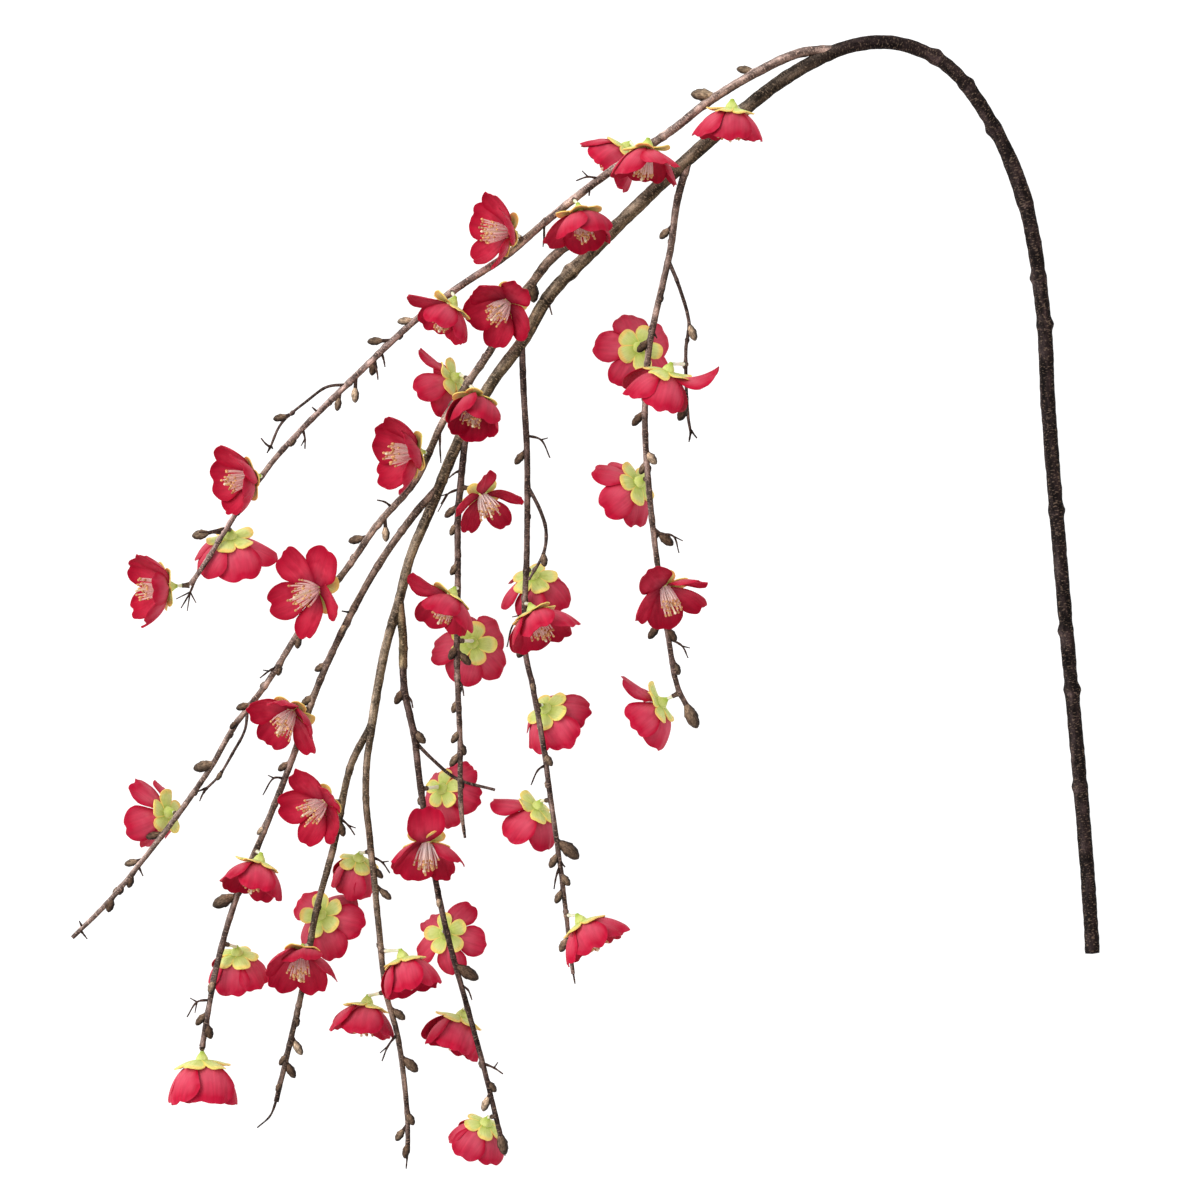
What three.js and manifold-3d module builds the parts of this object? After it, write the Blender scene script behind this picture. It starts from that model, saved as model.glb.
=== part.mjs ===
// Weeping plum blossom branch, cut and laid down: one arching stem whose thin shoots hang in
// long lines, forty-three open blossoms and many small buds. Millimetres, +Z up, resting on z = 0.
import * as THREE from 'three';
import Module from 'manifold-3d';

const wasm = await Module();
wasm.setup();

// Driving dimensions
const MM_PER_PX = 0.45;
const CENTRE_PX = { x: 586.1, y: 604.3 };
const SEAT_GAP = 0.3;
const BLADE_THICKNESS = 0.64;
const BLADE_SPOON_RADIUS = 60;
const PETAL_COUNT = 5;
const PETAL_LENGTH = 19.5;
const PETAL_WIDTH = 15.8;
const SEPAL_LENGTH = 8.6;
const SEPAL_WIDTH = 6.4;
const STAMEN_HEIGHT = 9;
const CALYX_RADIUS = 2.6;
const CALYX_TIERS = { low: 3.6, middle: 4.2, top: 4.8 };
const CROWN_HEIGHT = 5.2;
const PEDICEL_RADIUS = 0.95;
const SPUR_LENGTH = 2.6;
const SPUR_RADII = { root: 1.4, end: 1 };
const SHORTEST_PEDICEL = 0.6;
const KNOT_HALF_LENGTH = 4;
const KNOT_SWELL = 1.14;
const BUD_FOOT_BACK = 2.6;
const BUD_HEIGHT_SPREAD = 2.4;
const BUD_GIRTH = 0.3;
const BUD_SIDES = 4;
const TWIGLET_RADII = { base: 0.75, tip: 0.4 };
const TWIGLET_SIDES = 3;

// Blade angles from the blossom's axis, in degrees: an open cup's, how far a closed cup turns them
// in, how far a narrow bell turns in their roots, and the spread from one blade to the next
const PETAL_START = { open: 82, closing: 2, narrowing: 60 };
const PETAL_END = { open: 45, closing: 40, spread: 12 };
const SEPAL_START = 94;
const SEPAL_END = { open: 86, spread: 12 };

// A place seen in the picture, at a height above the resting surface
function place(px, py, z) {
  return new THREE.Vector3((px - CENTRE_PX.x) * MM_PER_PX, (CENTRE_PX.y - py) * MM_PER_PX, z);
}

// Seeded draw between 0 and 1, the same every time
function makeDraw(seed) {
  let state = (seed * 2654435761 + 97) >>> 0;
  return () => {
    state = (Math.imul(state, 1664525) + 1013904223) >>> 0;
    return state / 4294967296;
  };
}

// Woody shoots. A row is picture x, picture y, height, diameter; a shoot that grows from another
// starts on that one's centre line, so its first height is worked out.
const SHOOTS = {
  stem: {
    sides: 8,
    step: 30,
    route: [
      [1095, 955, 3.06, 6.6], [1091, 890, 3.06, 6.6], [1083, 790, 3.6, 6.6], [1066, 600, 4.2, 6.5],
      [1050, 400, 4.8, 6.8], [1046, 320, 5.2, 6.8], [1028, 205, 6.5, 6.8], [997, 128, 8.5, 6.6],
      [950, 65, 11.5, 6.3], [900, 42, 14, 6.4], [850, 45, 17, 6.3], [783, 79, 21, 6.2],
      [706, 143, 26, 6.2], [655, 189, 29, 6.2], [589, 254, 31, 6.2], [549, 296, 32, 5.9],
      [522, 342, 33, 5.6], [493, 381, 33, 5.3], [456, 447, 33, 5.1], [433, 503, 33, 4.8],
      [410, 558, 33, 4.4], [399, 601, 33, 4.4], [387, 642, 33, 4.1], [378, 686, 33, 4], [372, 724, 33, 4],
    ],
    knots: [[1083, 788], [1057, 510], [1047, 275], [998, 125], [935, 57], [568, 269]],
  },
  left: {
    sides: 6,
    step: 34,
    route: [
      [838, 47, 0, 4.6], [800, 52, 21, 4.4], [744, 79, 26, 4.1], [701, 107, 30, 3.9], [675, 128, 32, 3.8],
      [604, 176, 34, 3.6], [543, 224, 34, 3.4], [507, 255, 33, 3.4], [456, 289, 33, 3.2], [411, 324, 33, 3],
      [368, 364, 32, 2.9], [329, 402, 32, 2.8], [301, 430, 32, 2.6], [273, 461, 31, 2.5], [238, 510, 30, 2.4],
      [221, 537, 30, 2.4], [207, 560, 30, 2.3], [190, 585, 30, 2.2],
    ],
    grows_from: 'stem',
  },
  leftTwig: {
    sides: 4,
    step: 30,
    route: [
      [346, 384, 0, 1.5], [327, 387, 34, 1.3], [307, 401, 34, 1.3], [281, 424, 33, 1.2],
      [270, 448, 33, 1.1],
    ],
    grows_from: 'left',
  },
  middle: {
    sides: 6,
    step: 34,
    route: [
      [606, 237, 0, 4.6], [574, 242, 33, 4.5], [551, 259, 34, 4.3], [535, 279, 34, 4.1], [512, 309, 33, 3.7],
      [490, 351, 33, 3.5], [470, 380, 33, 3.4], [443, 422, 33, 3.3], [415, 481, 33, 3.2], [378, 524, 33, 3.1],
      [348, 567, 33, 3], [303, 626, 33, 2.9], [267, 683, 33, 2.7], [234, 727, 33, 2.6], [211, 767, 33, 2.5],
      [179, 813, 32, 2.5], [146, 856, 31, 2.4], [110, 900, 30, 2.4], [72, 938, 29, 2],
    ],
    grows_from: 'stem',
  },
  middleTwig: {
    sides: 4,
    step: 30,
    route: [
      [249, 710, 0, 1.5], [245, 730, 36, 1.3], [233, 753, 38, 1.3], [219, 776, 38, 1.2],
      [205, 790, 38, 1.1],
    ],
    grows_from: 'middle',
  },
  second: {
    sides: 6,
    step: 34,
    route: [
      [438, 486, 0, 3.6], [418, 510, 34, 3.5], [381, 561, 34, 3.3], [349, 618, 34, 3.2], [319, 683, 34, 3.1],
      [290, 765, 34, 3], [262, 836, 34, 2.9], [236, 899, 33, 2.8], [217, 965, 32, 2.7], [202, 1047, 31, 2.6],
    ],
    grows_from: 'stem',
  },
  third: {
    sides: 6,
    step: 34,
    route: [
      [377, 704, 0, 3.4], [372, 722, 33, 3.4], [351, 765, 33, 3.3], [334, 845, 33, 3.1], [316, 912, 33, 2.9],
      [304, 981, 32, 2.7], [291, 1038, 31, 2.6], [276, 1102, 30, 2.3],
    ],
    grows_from: 'stem',
  },
  fourth: {
    sides: 6,
    step: 34,
    route: [
      [378, 700, 0, 3.3], [372, 728, 33.4, 3.3], [367, 761, 34, 3.2], [366, 799, 34, 3.1], [370, 840, 34, 3],
      [374, 878, 34, 2.9], [379, 929, 34, 2.8], [386, 992, 33, 2.6], [398, 1038, 32, 2.5],
      [407, 1112, 31, 2.4], [408, 1150, 30, 2],
    ],
    grows_from: 'stem',
  },
  fifth: {
    sides: 6,
    step: 34,
    route: [
      [399, 600, 0, 3.5], [403, 638, 33, 3.4], [404, 686, 33, 3.3], [414, 735, 33, 3.1], [421, 791, 33, 2.9],
      [434, 872, 33, 2.7], [449, 941, 33, 2.6], [463, 992, 32, 2.5], [482, 1061, 31, 2.4],
      [501, 1138, 30, 2.2],
    ],
    grows_from: 'stem',
  },
  fifthTwig: {
    sides: 4,
    step: 30,
    route: [[415, 742, 0, 1.8], [432, 759, 31.5, 1.6], [457, 779, 30.5, 1.5], [495, 790, 30, 1.3]],
    grows_from: 'fifth',
  },
  sixth: {
    sides: 6,
    step: 34,
    route: [
      [470, 428, 0, 3.1], [462, 470, 35, 3.1], [458, 518, 36, 3], [458, 573, 36, 2.8], [457, 659, 36, 2.7],
      [460, 738, 35, 2.5], [461, 807, 34, 2.3], [465, 838, 33, 1.2],
    ],
    grows_from: 'stem',
  },
  seventh: {
    sides: 6,
    step: 34,
    route: [
      [522, 343, 0, 3], [524, 398, 34, 2.9], [527, 451, 34, 2.8], [527, 543, 34, 2.7], [525, 648, 34, 2.6],
      [533, 688, 34, 2.5], [543, 744, 33, 2.5], [551, 801, 33, 2.4], [561, 872, 32, 2.3], [573, 974, 30, 1.8],
    ],
    grows_from: 'stem',
  },
  seventhTwig: {
    sides: 4,
    step: 30,
    route: [
      [529, 486, 0, 1.8], [540, 510, 36, 1.7], [546, 530, 37, 1.6], [544, 552, 38, 1.5],
      [529, 580, 39, 1.1],
    ],
    grows_from: 'seventh',
  },
  eighth: {
    sides: 6,
    step: 34,
    route: [
      [689, 158, 0, 3.7], [677, 202, 29, 3.3], [671, 247, 29, 3.1], [663, 283, 28, 3], [649, 349, 28, 2.9],
      [645, 423, 29, 2.8], [649, 489, 31, 2.7], [656, 553, 31, 2.6], [668, 635, 31, 2.5], [678, 688, 30, 2.4],
      [691, 712, 29, 2.3],
    ],
    grows_from: 'stem',
  },
  eighthTwig: {
    sides: 4,
    step: 30,
    route: [
      [669, 260, 0, 1.9], [679, 286, 30, 1.7], [689, 323, 29, 1.6], [686, 349, 28, 1.6], [688, 415, 27, 1.5],
      [691, 433, 27, 1.2],
    ],
    grows_from: 'eighth',
  },
};

// Blossoms. Each has its shoot, the foot of its calyx (picture x, picture y, height), the way it
// faces (turn in the picture plane from the right, tilt up from that plane, roll about its own
// axis, in degrees), how closed its cup is (0 open, 1 a bell, above 1 a narrow bell), its size and
// its petals' breadth against the plain ones, and how far each petal leans out, in degrees.
const BLOSSOMS = [
  ['stem', 732, 101, 46.2, -95, -1, 14, 0.85, 1.04, 1, [0, 0, 15, 0, 0]],
  ['left', 631, 141, 16.8, 224, 0, 36, 0.8, 1, 1],
  ['left', 648, 140, 48, -98, 4, 60, 0.85, 1.05, 1, [48, 0, 0, 0, 0]],
  ['left', 578, 205, 48, -78, 20, 54, 0.85, 1, 1, [-12, 0, 35, 0, -12]],
  ['left', 516, 233, 39, 178, 32, 30, 0.5, 1, 0.95],
  ['left', 455.5, 298, 48.6, -116, 8, 30, 0.85, 0.93, 0.92, [0, 0, 60, 0, 0]],
  ['middle', 511, 299, 42.4, 228, 45, 15, 0.5, 1, 0.93, [0, 42, -14, -10, 0]],
  ['middle', 460, 374, 25.5, 215, -25, 36, 0.7, 0.95, 0.9, [0, 0, 50, 0, 0]],
  ['middle', 477, 391, 43.5, -98, 32, 60, 1.03, 1.04, 0.95],
  ['middle', 424, 452, 39, 185, 28, 25, 0.6, 1.08, 0.92],
  ['left', 260, 476, 40, 192, 28, 45, 0.65, 1, 1],
  ['left', 230, 530, 25.5, -88, -27, 0, 0.6, 1.08, 1, [20, 0, 0, 0, 0]],
  ['left', 176, 586, 31, 185, 20, 15, 0.65, 1.08, 0.81],
  ['middle', 323, 587, 38, 200, 48, 55, 0.2, 1.14, 0.84, [0, 32, 25, 0, 0]],
  ['eighth', 641, 345, 22, 225, -70, 0, 0.15, 1, 0.86],
  ['eighthTwig', 671, 364, 49, -112, -8, 6, 0.85, 1.15, 1, [150, 0, 0, 0, 0]],
  ['eighth', 644, 479, 26, 212, -36, 8, 0.5, 1.02, 0.95],
  ['eighth', 662, 580, 39.5, -70, 30, 30, 0.6, 1, 0.92, [22, 72, 0, 0, 12]],
  ['eighth', 667, 699, 28, 215, -20, 14, 0.6, 1, 1, [0, 0, 45, 0, 0]],
  ['sixth', 480, 489, 38, -68, 34, 72, 0.35, 0.88, 0.7, [50, 0, 0, 0, 0]],
  ['sixth', 455, 588, 50, 246, 15, 30, 0.8, 0.99, 1, [0, 0, 95, 0, 0]],
  ['sixth', 473, 641, 29, -110, -72, 15, 0.4, 1, 0.95],
  ['seventh', 532, 570, 26.5, -80, -38, 36, 0.7, 1, 0.95],
  ['seventh', 530, 604, 48.6, -68, 16, 18, 0.72, 1.06, 1],
  ['seventh', 542, 705, 27, -50, -40, 25, 0.6, 1, 0.95],
  ['second', 296, 706, 41, 238, 40, 45, 0.5, 1, 0.86, [0, 0, 0, 0, 25]],
  ['third', 329, 800, 38, 215, 45, 20, 0.4, 1, 0.85, [0, 0, 25, 0, 0]],
  ['middle', 173, 812, 26.5, 190, -40, 6, 0.5, 1, 0.84, [-25, 0, 25, 0, -10]],
  ['second', 262, 853, 48.2, -104, 8, 10, 0.95, 1.02, 1, [0, 12, 26, 0, 0]],
  ['fourth', 360, 853, 25.5, -105, -28, 30, 1.1, 0.92, 1],
  ['third', 317, 912, 27, -45, -50, 50, 0.5, 1, 0.92, [0, 0, 0, 45, 0]],
  ['third', 303, 945, 41, -95, 33, 15, 0.65, 1.03, 0.95],
  ['second', 236, 947, 25, -88, -28, 36, 0.9, 0.98, 1],
  ['second', 202, 1052, 30, -90, 0, 5, 0.95, 1.28, 1.08],
  ['fourth', 368, 996, 23.5, 260, 4, 20, 0.8, 1.04, 1],
  ['fourth', 401, 949, 48.9, -74, 6, 25, 0.95, 1.02, 1],
  ['fifth', 443, 932, 27, -45, -66, 55, 0.3, 0.92, 0.86],
  ['fifth', 464, 1010, 18.2, 250, 2, 12, 0.95, 1.1, 1],
  ['fifth', 488, 1118, 24.9, 246, -28, 36, 0.9, 0.93, 1],
  ['seventh', 577, 914, 47.5, -60, 4, 20, 0.8, 1.04, 1],
  ['fifth', 427, 834, 44.8, -90, 25, 18, 0.65, 1.02, 0.95, [0, 135, 0, 0, 0]],
  ['fifth', 438, 787, 25.5, -30, -55, 8, 0.45, 0.86, 0.92],
  ['seventh', 541, 801, 27, 240, -25, 33, 0.8, 1, 0.95, [0, 0, 40, 0, 0]],
];

// Buds by shoot: picture x, picture y, length
const BUDS = {
  left: [[701, 94, 7], [744, 69, 5], [404, 321, 5], [374, 341, 5], [373, 369, 5], [199, 535, 5.5]],
  middle: [
    [533, 294, 6], [355, 540, 5], [386, 535, 5], [298, 642, 5], [202, 767, 6], [152, 836, 5], [130, 882, 5],
    [110, 906, 5],
  ],
  second: [[344, 628, 5], [307, 701, 5], [222, 902, 7], [208, 986, 5], [210, 1032, 5]],
  third: [[342, 830, 5], [299, 1049, 5], [291, 1072, 5]],
  fourth: [[386, 895, 5], [404, 1015, 5], [412, 1066, 5.5], [414, 1120, 5], [406, 1154, 6]],
  fifth: [[397, 698, 5.5], [421, 738, 5.5], [469, 974, 7], [494, 1087, 5], [484, 1105, 5], [503, 1146, 8]],
  sixth: [[450, 513, 5], [452, 654, 5], [467, 660, 5], [453, 761, 5]],
  seventh: [[519, 459, 5], [519, 651, 5.5], [549, 760, 5.5], [571, 851, 7], [552, 862, 5], [563, 946, 5]],
  eighth: [[640, 377, 5.5], [637, 420, 5.5], [667, 540, 6], [656, 628, 5.5], [674, 645, 5.5], [694, 719, 8]],
  eighthTwig: [[694, 333, 5.5], [682, 414, 5.5]],
};

// Bare twiglets and spines by shoot, each as picture points with the change of height at each
const TWIGLETS = {
  left: [
    [[599, 180, 0], [576, 178, 3]], [[435, 305, 0], [409, 296, 3]], [[303, 429, 0], [305, 449, 3]],
    [[222, 535, 0], [199, 530, 2]], [[197, 575, 0], [181, 608, 2]],
  ],
  middle: [[[442, 424, 0], [436, 452, 5]], [[279, 665, 0], [260, 676, 3]]],
  second: [[[284, 780, 0], [263, 795, 3]], [[206, 1008, 0], [188, 1018, 2]]],
  third: [[[339, 818, 0], [355, 835, 3]], [[277, 1098, 0], [270, 1116, 0], [257, 1128, -1]]],
  fourth: [
    [[372, 855, 0], [390, 873, 3]], [[398, 1038, 0], [385, 1058, 3]], [[408, 1146, 0], [406, 1169, 0]],
  ],
  fifth: [[[484, 1066, 0], [503, 1074, 2]]],
  sixth: [[[458, 490, 0], [440, 504, 3]]],
  seventh: [
    [[526, 436, 0], [550, 458, 3]], [[525, 612, 0], [507, 647, 4]], [[546, 765, 0], [531, 785, 4]],
    [[560, 865, 0], [554, 889, 4]],
  ],
  eighth: [[[654, 535, 0], [679, 553, 3]], [[670, 638, 0], [688, 658, 4]]],
};

// Solid of a shared-vertex triangle list
function solidOf(points, faces) {
  const coordinates = new Float32Array(points.flatMap((point) => [point.x, point.y, point.z]));
  const corners = new Uint32Array(faces.flat());
  return new wasm.Manifold(new wasm.Mesh({ numProp: 3, vertProperties: coordinates, triVerts: corners }));
}

// Closed tube of flat-sided rings through given centres, one facet of each ring facing down; a
// last radius of 0 ends it in a point
function ringTube(centres, radii, sides) {
  const points = [];
  const faces = [];
  const pointed = radii[radii.length - 1] === 0;
  const ringCount = pointed ? centres.length - 1 : centres.length;
  for (let ring = 0; ring < ringCount; ring += 1) {
    const before = centres[Math.max(ring - 1, 0)];
    const after = centres[Math.min(ring + 1, centres.length - 1)];
    const along = new THREE.Vector3().subVectors(after, before).normalize();
    const upright = Math.abs(along.z) > 0.95 ? new THREE.Vector3(1, 0, 0) : new THREE.Vector3(0, 0, 1);
    const across = new THREE.Vector3().crossVectors(upright, along).normalize();
    const over = new THREE.Vector3().crossVectors(along, across);
    for (let side = 0; side < sides; side += 1) {
      const angle = ((side + 0.5) / sides) * Math.PI * 2 + Math.PI / 2;
      const point = centres[ring].clone();
      point.addScaledVector(across, Math.cos(angle) * radii[ring]);
      point.addScaledVector(over, Math.sin(angle) * radii[ring]);
      points.push(point);
    }
  }
  for (let ring = 0; ring < ringCount - 1; ring += 1) {
    for (let side = 0; side < sides; side += 1) {
      const next = (side + 1) % sides;
      const a = ring * sides + side;
      const b = ring * sides + next;
      const c = a + sides;
      const d = b + sides;
      faces.push([a, b, d], [a, d, c]);
    }
  }
  const last = (ringCount - 1) * sides;
  for (let side = 1; side < sides - 1; side += 1) {
    faces.push([0, side + 1, side]);
  }
  if (pointed) {
    const apex = points.push(centres[centres.length - 1].clone()) - 1;
    for (let side = 0; side < sides; side += 1) {
      faces.push([last + side, last + ((side + 1) % sides), apex]);
    }
  } else {
    for (let side = 1; side < sides - 1; side += 1) {
      faces.push([last, last + side, last + side + 1]);
    }
  }
  return solidOf(points, faces);
}

// Curve of a shoot with its radius anywhere along it
function traceShoot(name) {
  const shoot = SHOOTS[name];
  const points = shoot.route.map(([px, py, z]) => place(px, py, z));
  if (shoot.grows_from) {
    points[0].copy(nearestOn(traces[shoot.grows_from], points[0]).point);
  }
  const curve = new THREE.CatmullRomCurve3(points, false, 'centripetal');
  const radiusAt = (u) => {
    const along = curve.getUtoTmapping(u) * (points.length - 1);
    const index = Math.min(Math.floor(along), points.length - 2);
    const share = along - index;
    return (shoot.route[index][3] * (1 - share) + shoot.route[index + 1][3] * share) / 2;
  };
  return { curve, radiusAt, length: curve.getLength(), samples: curve.getSpacedPoints(400) };
}

// Point of a shoot's centre line that lies nearest to a place, seen from above
function nearestOn(trace, target) {
  let best = 0;
  let bestDistance = Infinity;
  trace.samples.forEach((sample, index) => {
    const distance = Math.hypot(sample.x - target.x, sample.y - target.y);
    if (distance < bestDistance) {
      best = index;
      bestDistance = distance;
    }
  });
  const u = best / (trace.samples.length - 1);
  return { point: trace.samples[best].clone(), radius: trace.radiusAt(u), u };
}

const traces = {};
Object.keys(SHOOTS).forEach((name) => {
  traces[name] = traceShoot(name);
});

// Rings of a shoot: one at each point of its route, more where those lie far apart, and a swelling
// at each knot
function shootSolid(name) {
  const shoot = SHOOTS[name];
  const trace = traces[name];
  const knots = (shoot.knots ?? []).map(([px, py]) => nearestOn(trace, place(px, py, 0)).u);
  const reach = KNOT_HALF_LENGTH / trace.length;
  const corners = shoot.route.map(([px, py]) => nearestOn(trace, place(px, py, 0)).u);
  corners[0] = 0;
  corners[corners.length - 1] = 1;
  const stations = [[0, 1]];
  for (let index = 1; index < corners.length; index += 1) {
    const span = corners[index] - corners[index - 1];
    const pieces = Math.max(Math.round((span * trace.length) / shoot.step), 1);
    for (let piece = 1; piece <= pieces; piece += 1) {
      stations.push([corners[index - 1] + (span * piece) / pieces, 1]);
    }
  }
  const kept = stations.filter(([u]) => knots.every((knot) => Math.abs(knot - u) > reach * 1.8));
  knots.forEach((knot) => kept.push([knot - reach, 1], [knot, KNOT_SWELL], [knot + reach, 1]));
  kept.sort((first, second) => first[0] - second[0]);
  const centres = kept.map(([u]) => trace.curve.getPointAt(u));
  const radii = kept.map(([u, swell]) => trace.radiusAt(u) * swell);
  return ringTube(centres, radii, shoot.sides);
}

// Spindle-shaped bud, its foot on the wood's centre line a little before it
function budSolid(name, px, py, length, draw) {
  const trace = traces[name];
  const centre = place(px, py, 0);
  const beside = nearestOn(trace, centre);
  const foot = trace.curve.getPointAt(Math.max(beside.u - BUD_FOOT_BACK / trace.length, 0));
  centre.z = beside.point.z + (draw() - 0.5) * BUD_HEIGHT_SPREAD;
  const along = new THREE.Vector3().subVectors(centre, foot).normalize();
  const tip = centre.clone().addScaledVector(along, length / 2);
  const girth = length * BUD_GIRTH;
  const belly = centre.clone().addScaledVector(along, length * 0.02);
  return ringTube([foot, belly, tip], [girth * 0.62, girth, 0], BUD_SIDES);
}

function twigletSolid(name, route) {
  const root = nearestOn(traces[name], place(route[0][0], route[0][1], 0)).point;
  const centres = route.map(([px, py, rise], index) => (index === 0 ? root : place(px, py, root.z + rise)));
  const thinning = (TWIGLET_RADII.base - TWIGLET_RADII.tip) / (route.length - 1);
  const radii = route.map((_, index) => TWIGLET_RADII.base - thinning * index);
  return ringTube(centres, radii, TWIGLET_SIDES);
}

// Where a blossom sits: the foot of its calyx, its turn, and the flat seat between spur and pedicel
function seatOf([shoot, px, py, height, turn, tilt, roll]) {
  const foot = place(px, py, height);
  const azimuth = THREE.MathUtils.degToRad(turn);
  const rise = THREE.MathUtils.degToRad(tilt);
  const facing = new THREE.Vector3(
    Math.cos(azimuth) * Math.cos(rise),
    Math.sin(azimuth) * Math.cos(rise),
    Math.sin(rise),
  );
  const sideways = new THREE.Vector3(0, 0, 1).cross(facing).normalize();
  const upward = new THREE.Vector3().crossVectors(facing, sideways);
  const turned = new THREE.Quaternion();
  turned.setFromRotationMatrix(new THREE.Matrix4().makeBasis(sideways, upward, facing));
  const rolled = new THREE.Quaternion();
  rolled.setFromAxisAngle(new THREE.Vector3(0, 0, 1), THREE.MathUtils.degToRad(roll));
  turned.multiply(rolled);
  const wood = nearestOn(traces[shoot], foot);
  const outward = new THREE.Vector3().subVectors(foot, wood.point);
  const distance = outward.length();
  outward.normalize();
  const spurReach = Math.min(wood.radius + SPUR_LENGTH, distance - SEAT_GAP - SHORTEST_PEDICEL);
  const spurEnd = wood.point.clone().addScaledVector(outward, spurReach);
  const pedicelEnd = spurEnd.clone().addScaledVector(outward, SEAT_GAP);
  return { foot, turned, wood, outward, spurEnd, pedicelEnd };
}

function spurSolid(seat) {
  return ringTube([seat.wood.point, seat.spurEnd], [SPUR_RADII.root, SPUR_RADII.end], TWIGLET_SIDES);
}

// Blade outline as shares: along the blade from its root, across from its rib, right side first
const PETAL_OUTLINE = [[0.3, 0.33], [0.74, 0.5], [1, 0.25], [1, -0.25], [0.74, -0.5], [0.3, -0.33]];
const SEPAL_OUTLINE = [[0.94, 0.42], [0.94, -0.42]];

// Point of a blade that leaves the calyx outward and curves toward the blossom's axis
function bladePoint(blade, along, across, side) {
  const bend = blade.endAngle - blade.startAngle;
  const angle = blade.startAngle + bend * along;
  const out = blade.rootRadius + (blade.length * (Math.cos(blade.startAngle) - Math.cos(angle))) / bend;
  const up = blade.rootHeight + (blade.length * (Math.sin(angle) - Math.sin(blade.startAngle))) / bend;
  const spread = across * blade.width;
  const lean = spread * Math.sin(blade.twist);
  const inward = (spread * spread) / (2 * blade.spoonRadius) + (side * BLADE_THICKNESS) / 2 + lean;
  const radial = out - Math.cos(angle) * inward;
  const height = up + Math.sin(angle) * inward;
  const sideways = spread * Math.cos(blade.twist);
  return new THREE.Vector3(
    Math.cos(blade.turn) * radial - Math.sin(blade.turn) * sideways,
    Math.sin(blade.turn) * radial + Math.cos(blade.turn) * sideways,
    height,
  );
}

// Adds one blade between two neighbouring points of two stacked rings, in strips from its root to
// its tip alike on both faces, and closes it with a rim
function addBlade(points, faces, blade, outline, lower, upper) {
  const back = outline.map(([along, across]) => points.push(bladePoint(blade, along, across, -1)) - 1);
  const front = outline.map(([along, across]) => points.push(bladePoint(blade, along, across, 1)) - 1);
  const backLoop = [lower[1], ...back, lower[0]];
  const frontLoop = [upper[1], ...front, upper[0]];
  const last = backLoop.length - 1;
  for (let index = 0; index < last - index - 1; index += 1) {
    const next = index + 1;
    const far = last - index;
    const farNext = far - 1;
    faces.push([backLoop[far], backLoop[index], backLoop[next]]);
    faces.push([frontLoop[far], frontLoop[next], frontLoop[index]]);
    if (farNext > next) {
      faces.push([backLoop[far], backLoop[next], backLoop[farNext]]);
      faces.push([frontLoop[far], frontLoop[farNext], frontLoop[next]]);
    }
  }
  for (let index = 0; index < last; index += 1) {
    const next = index + 1;
    faces.push([backLoop[next], backLoop[index], frontLoop[index]]);
    faces.push([backLoop[next], frontLoop[index], frontLoop[next]]);
  }
}

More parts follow.
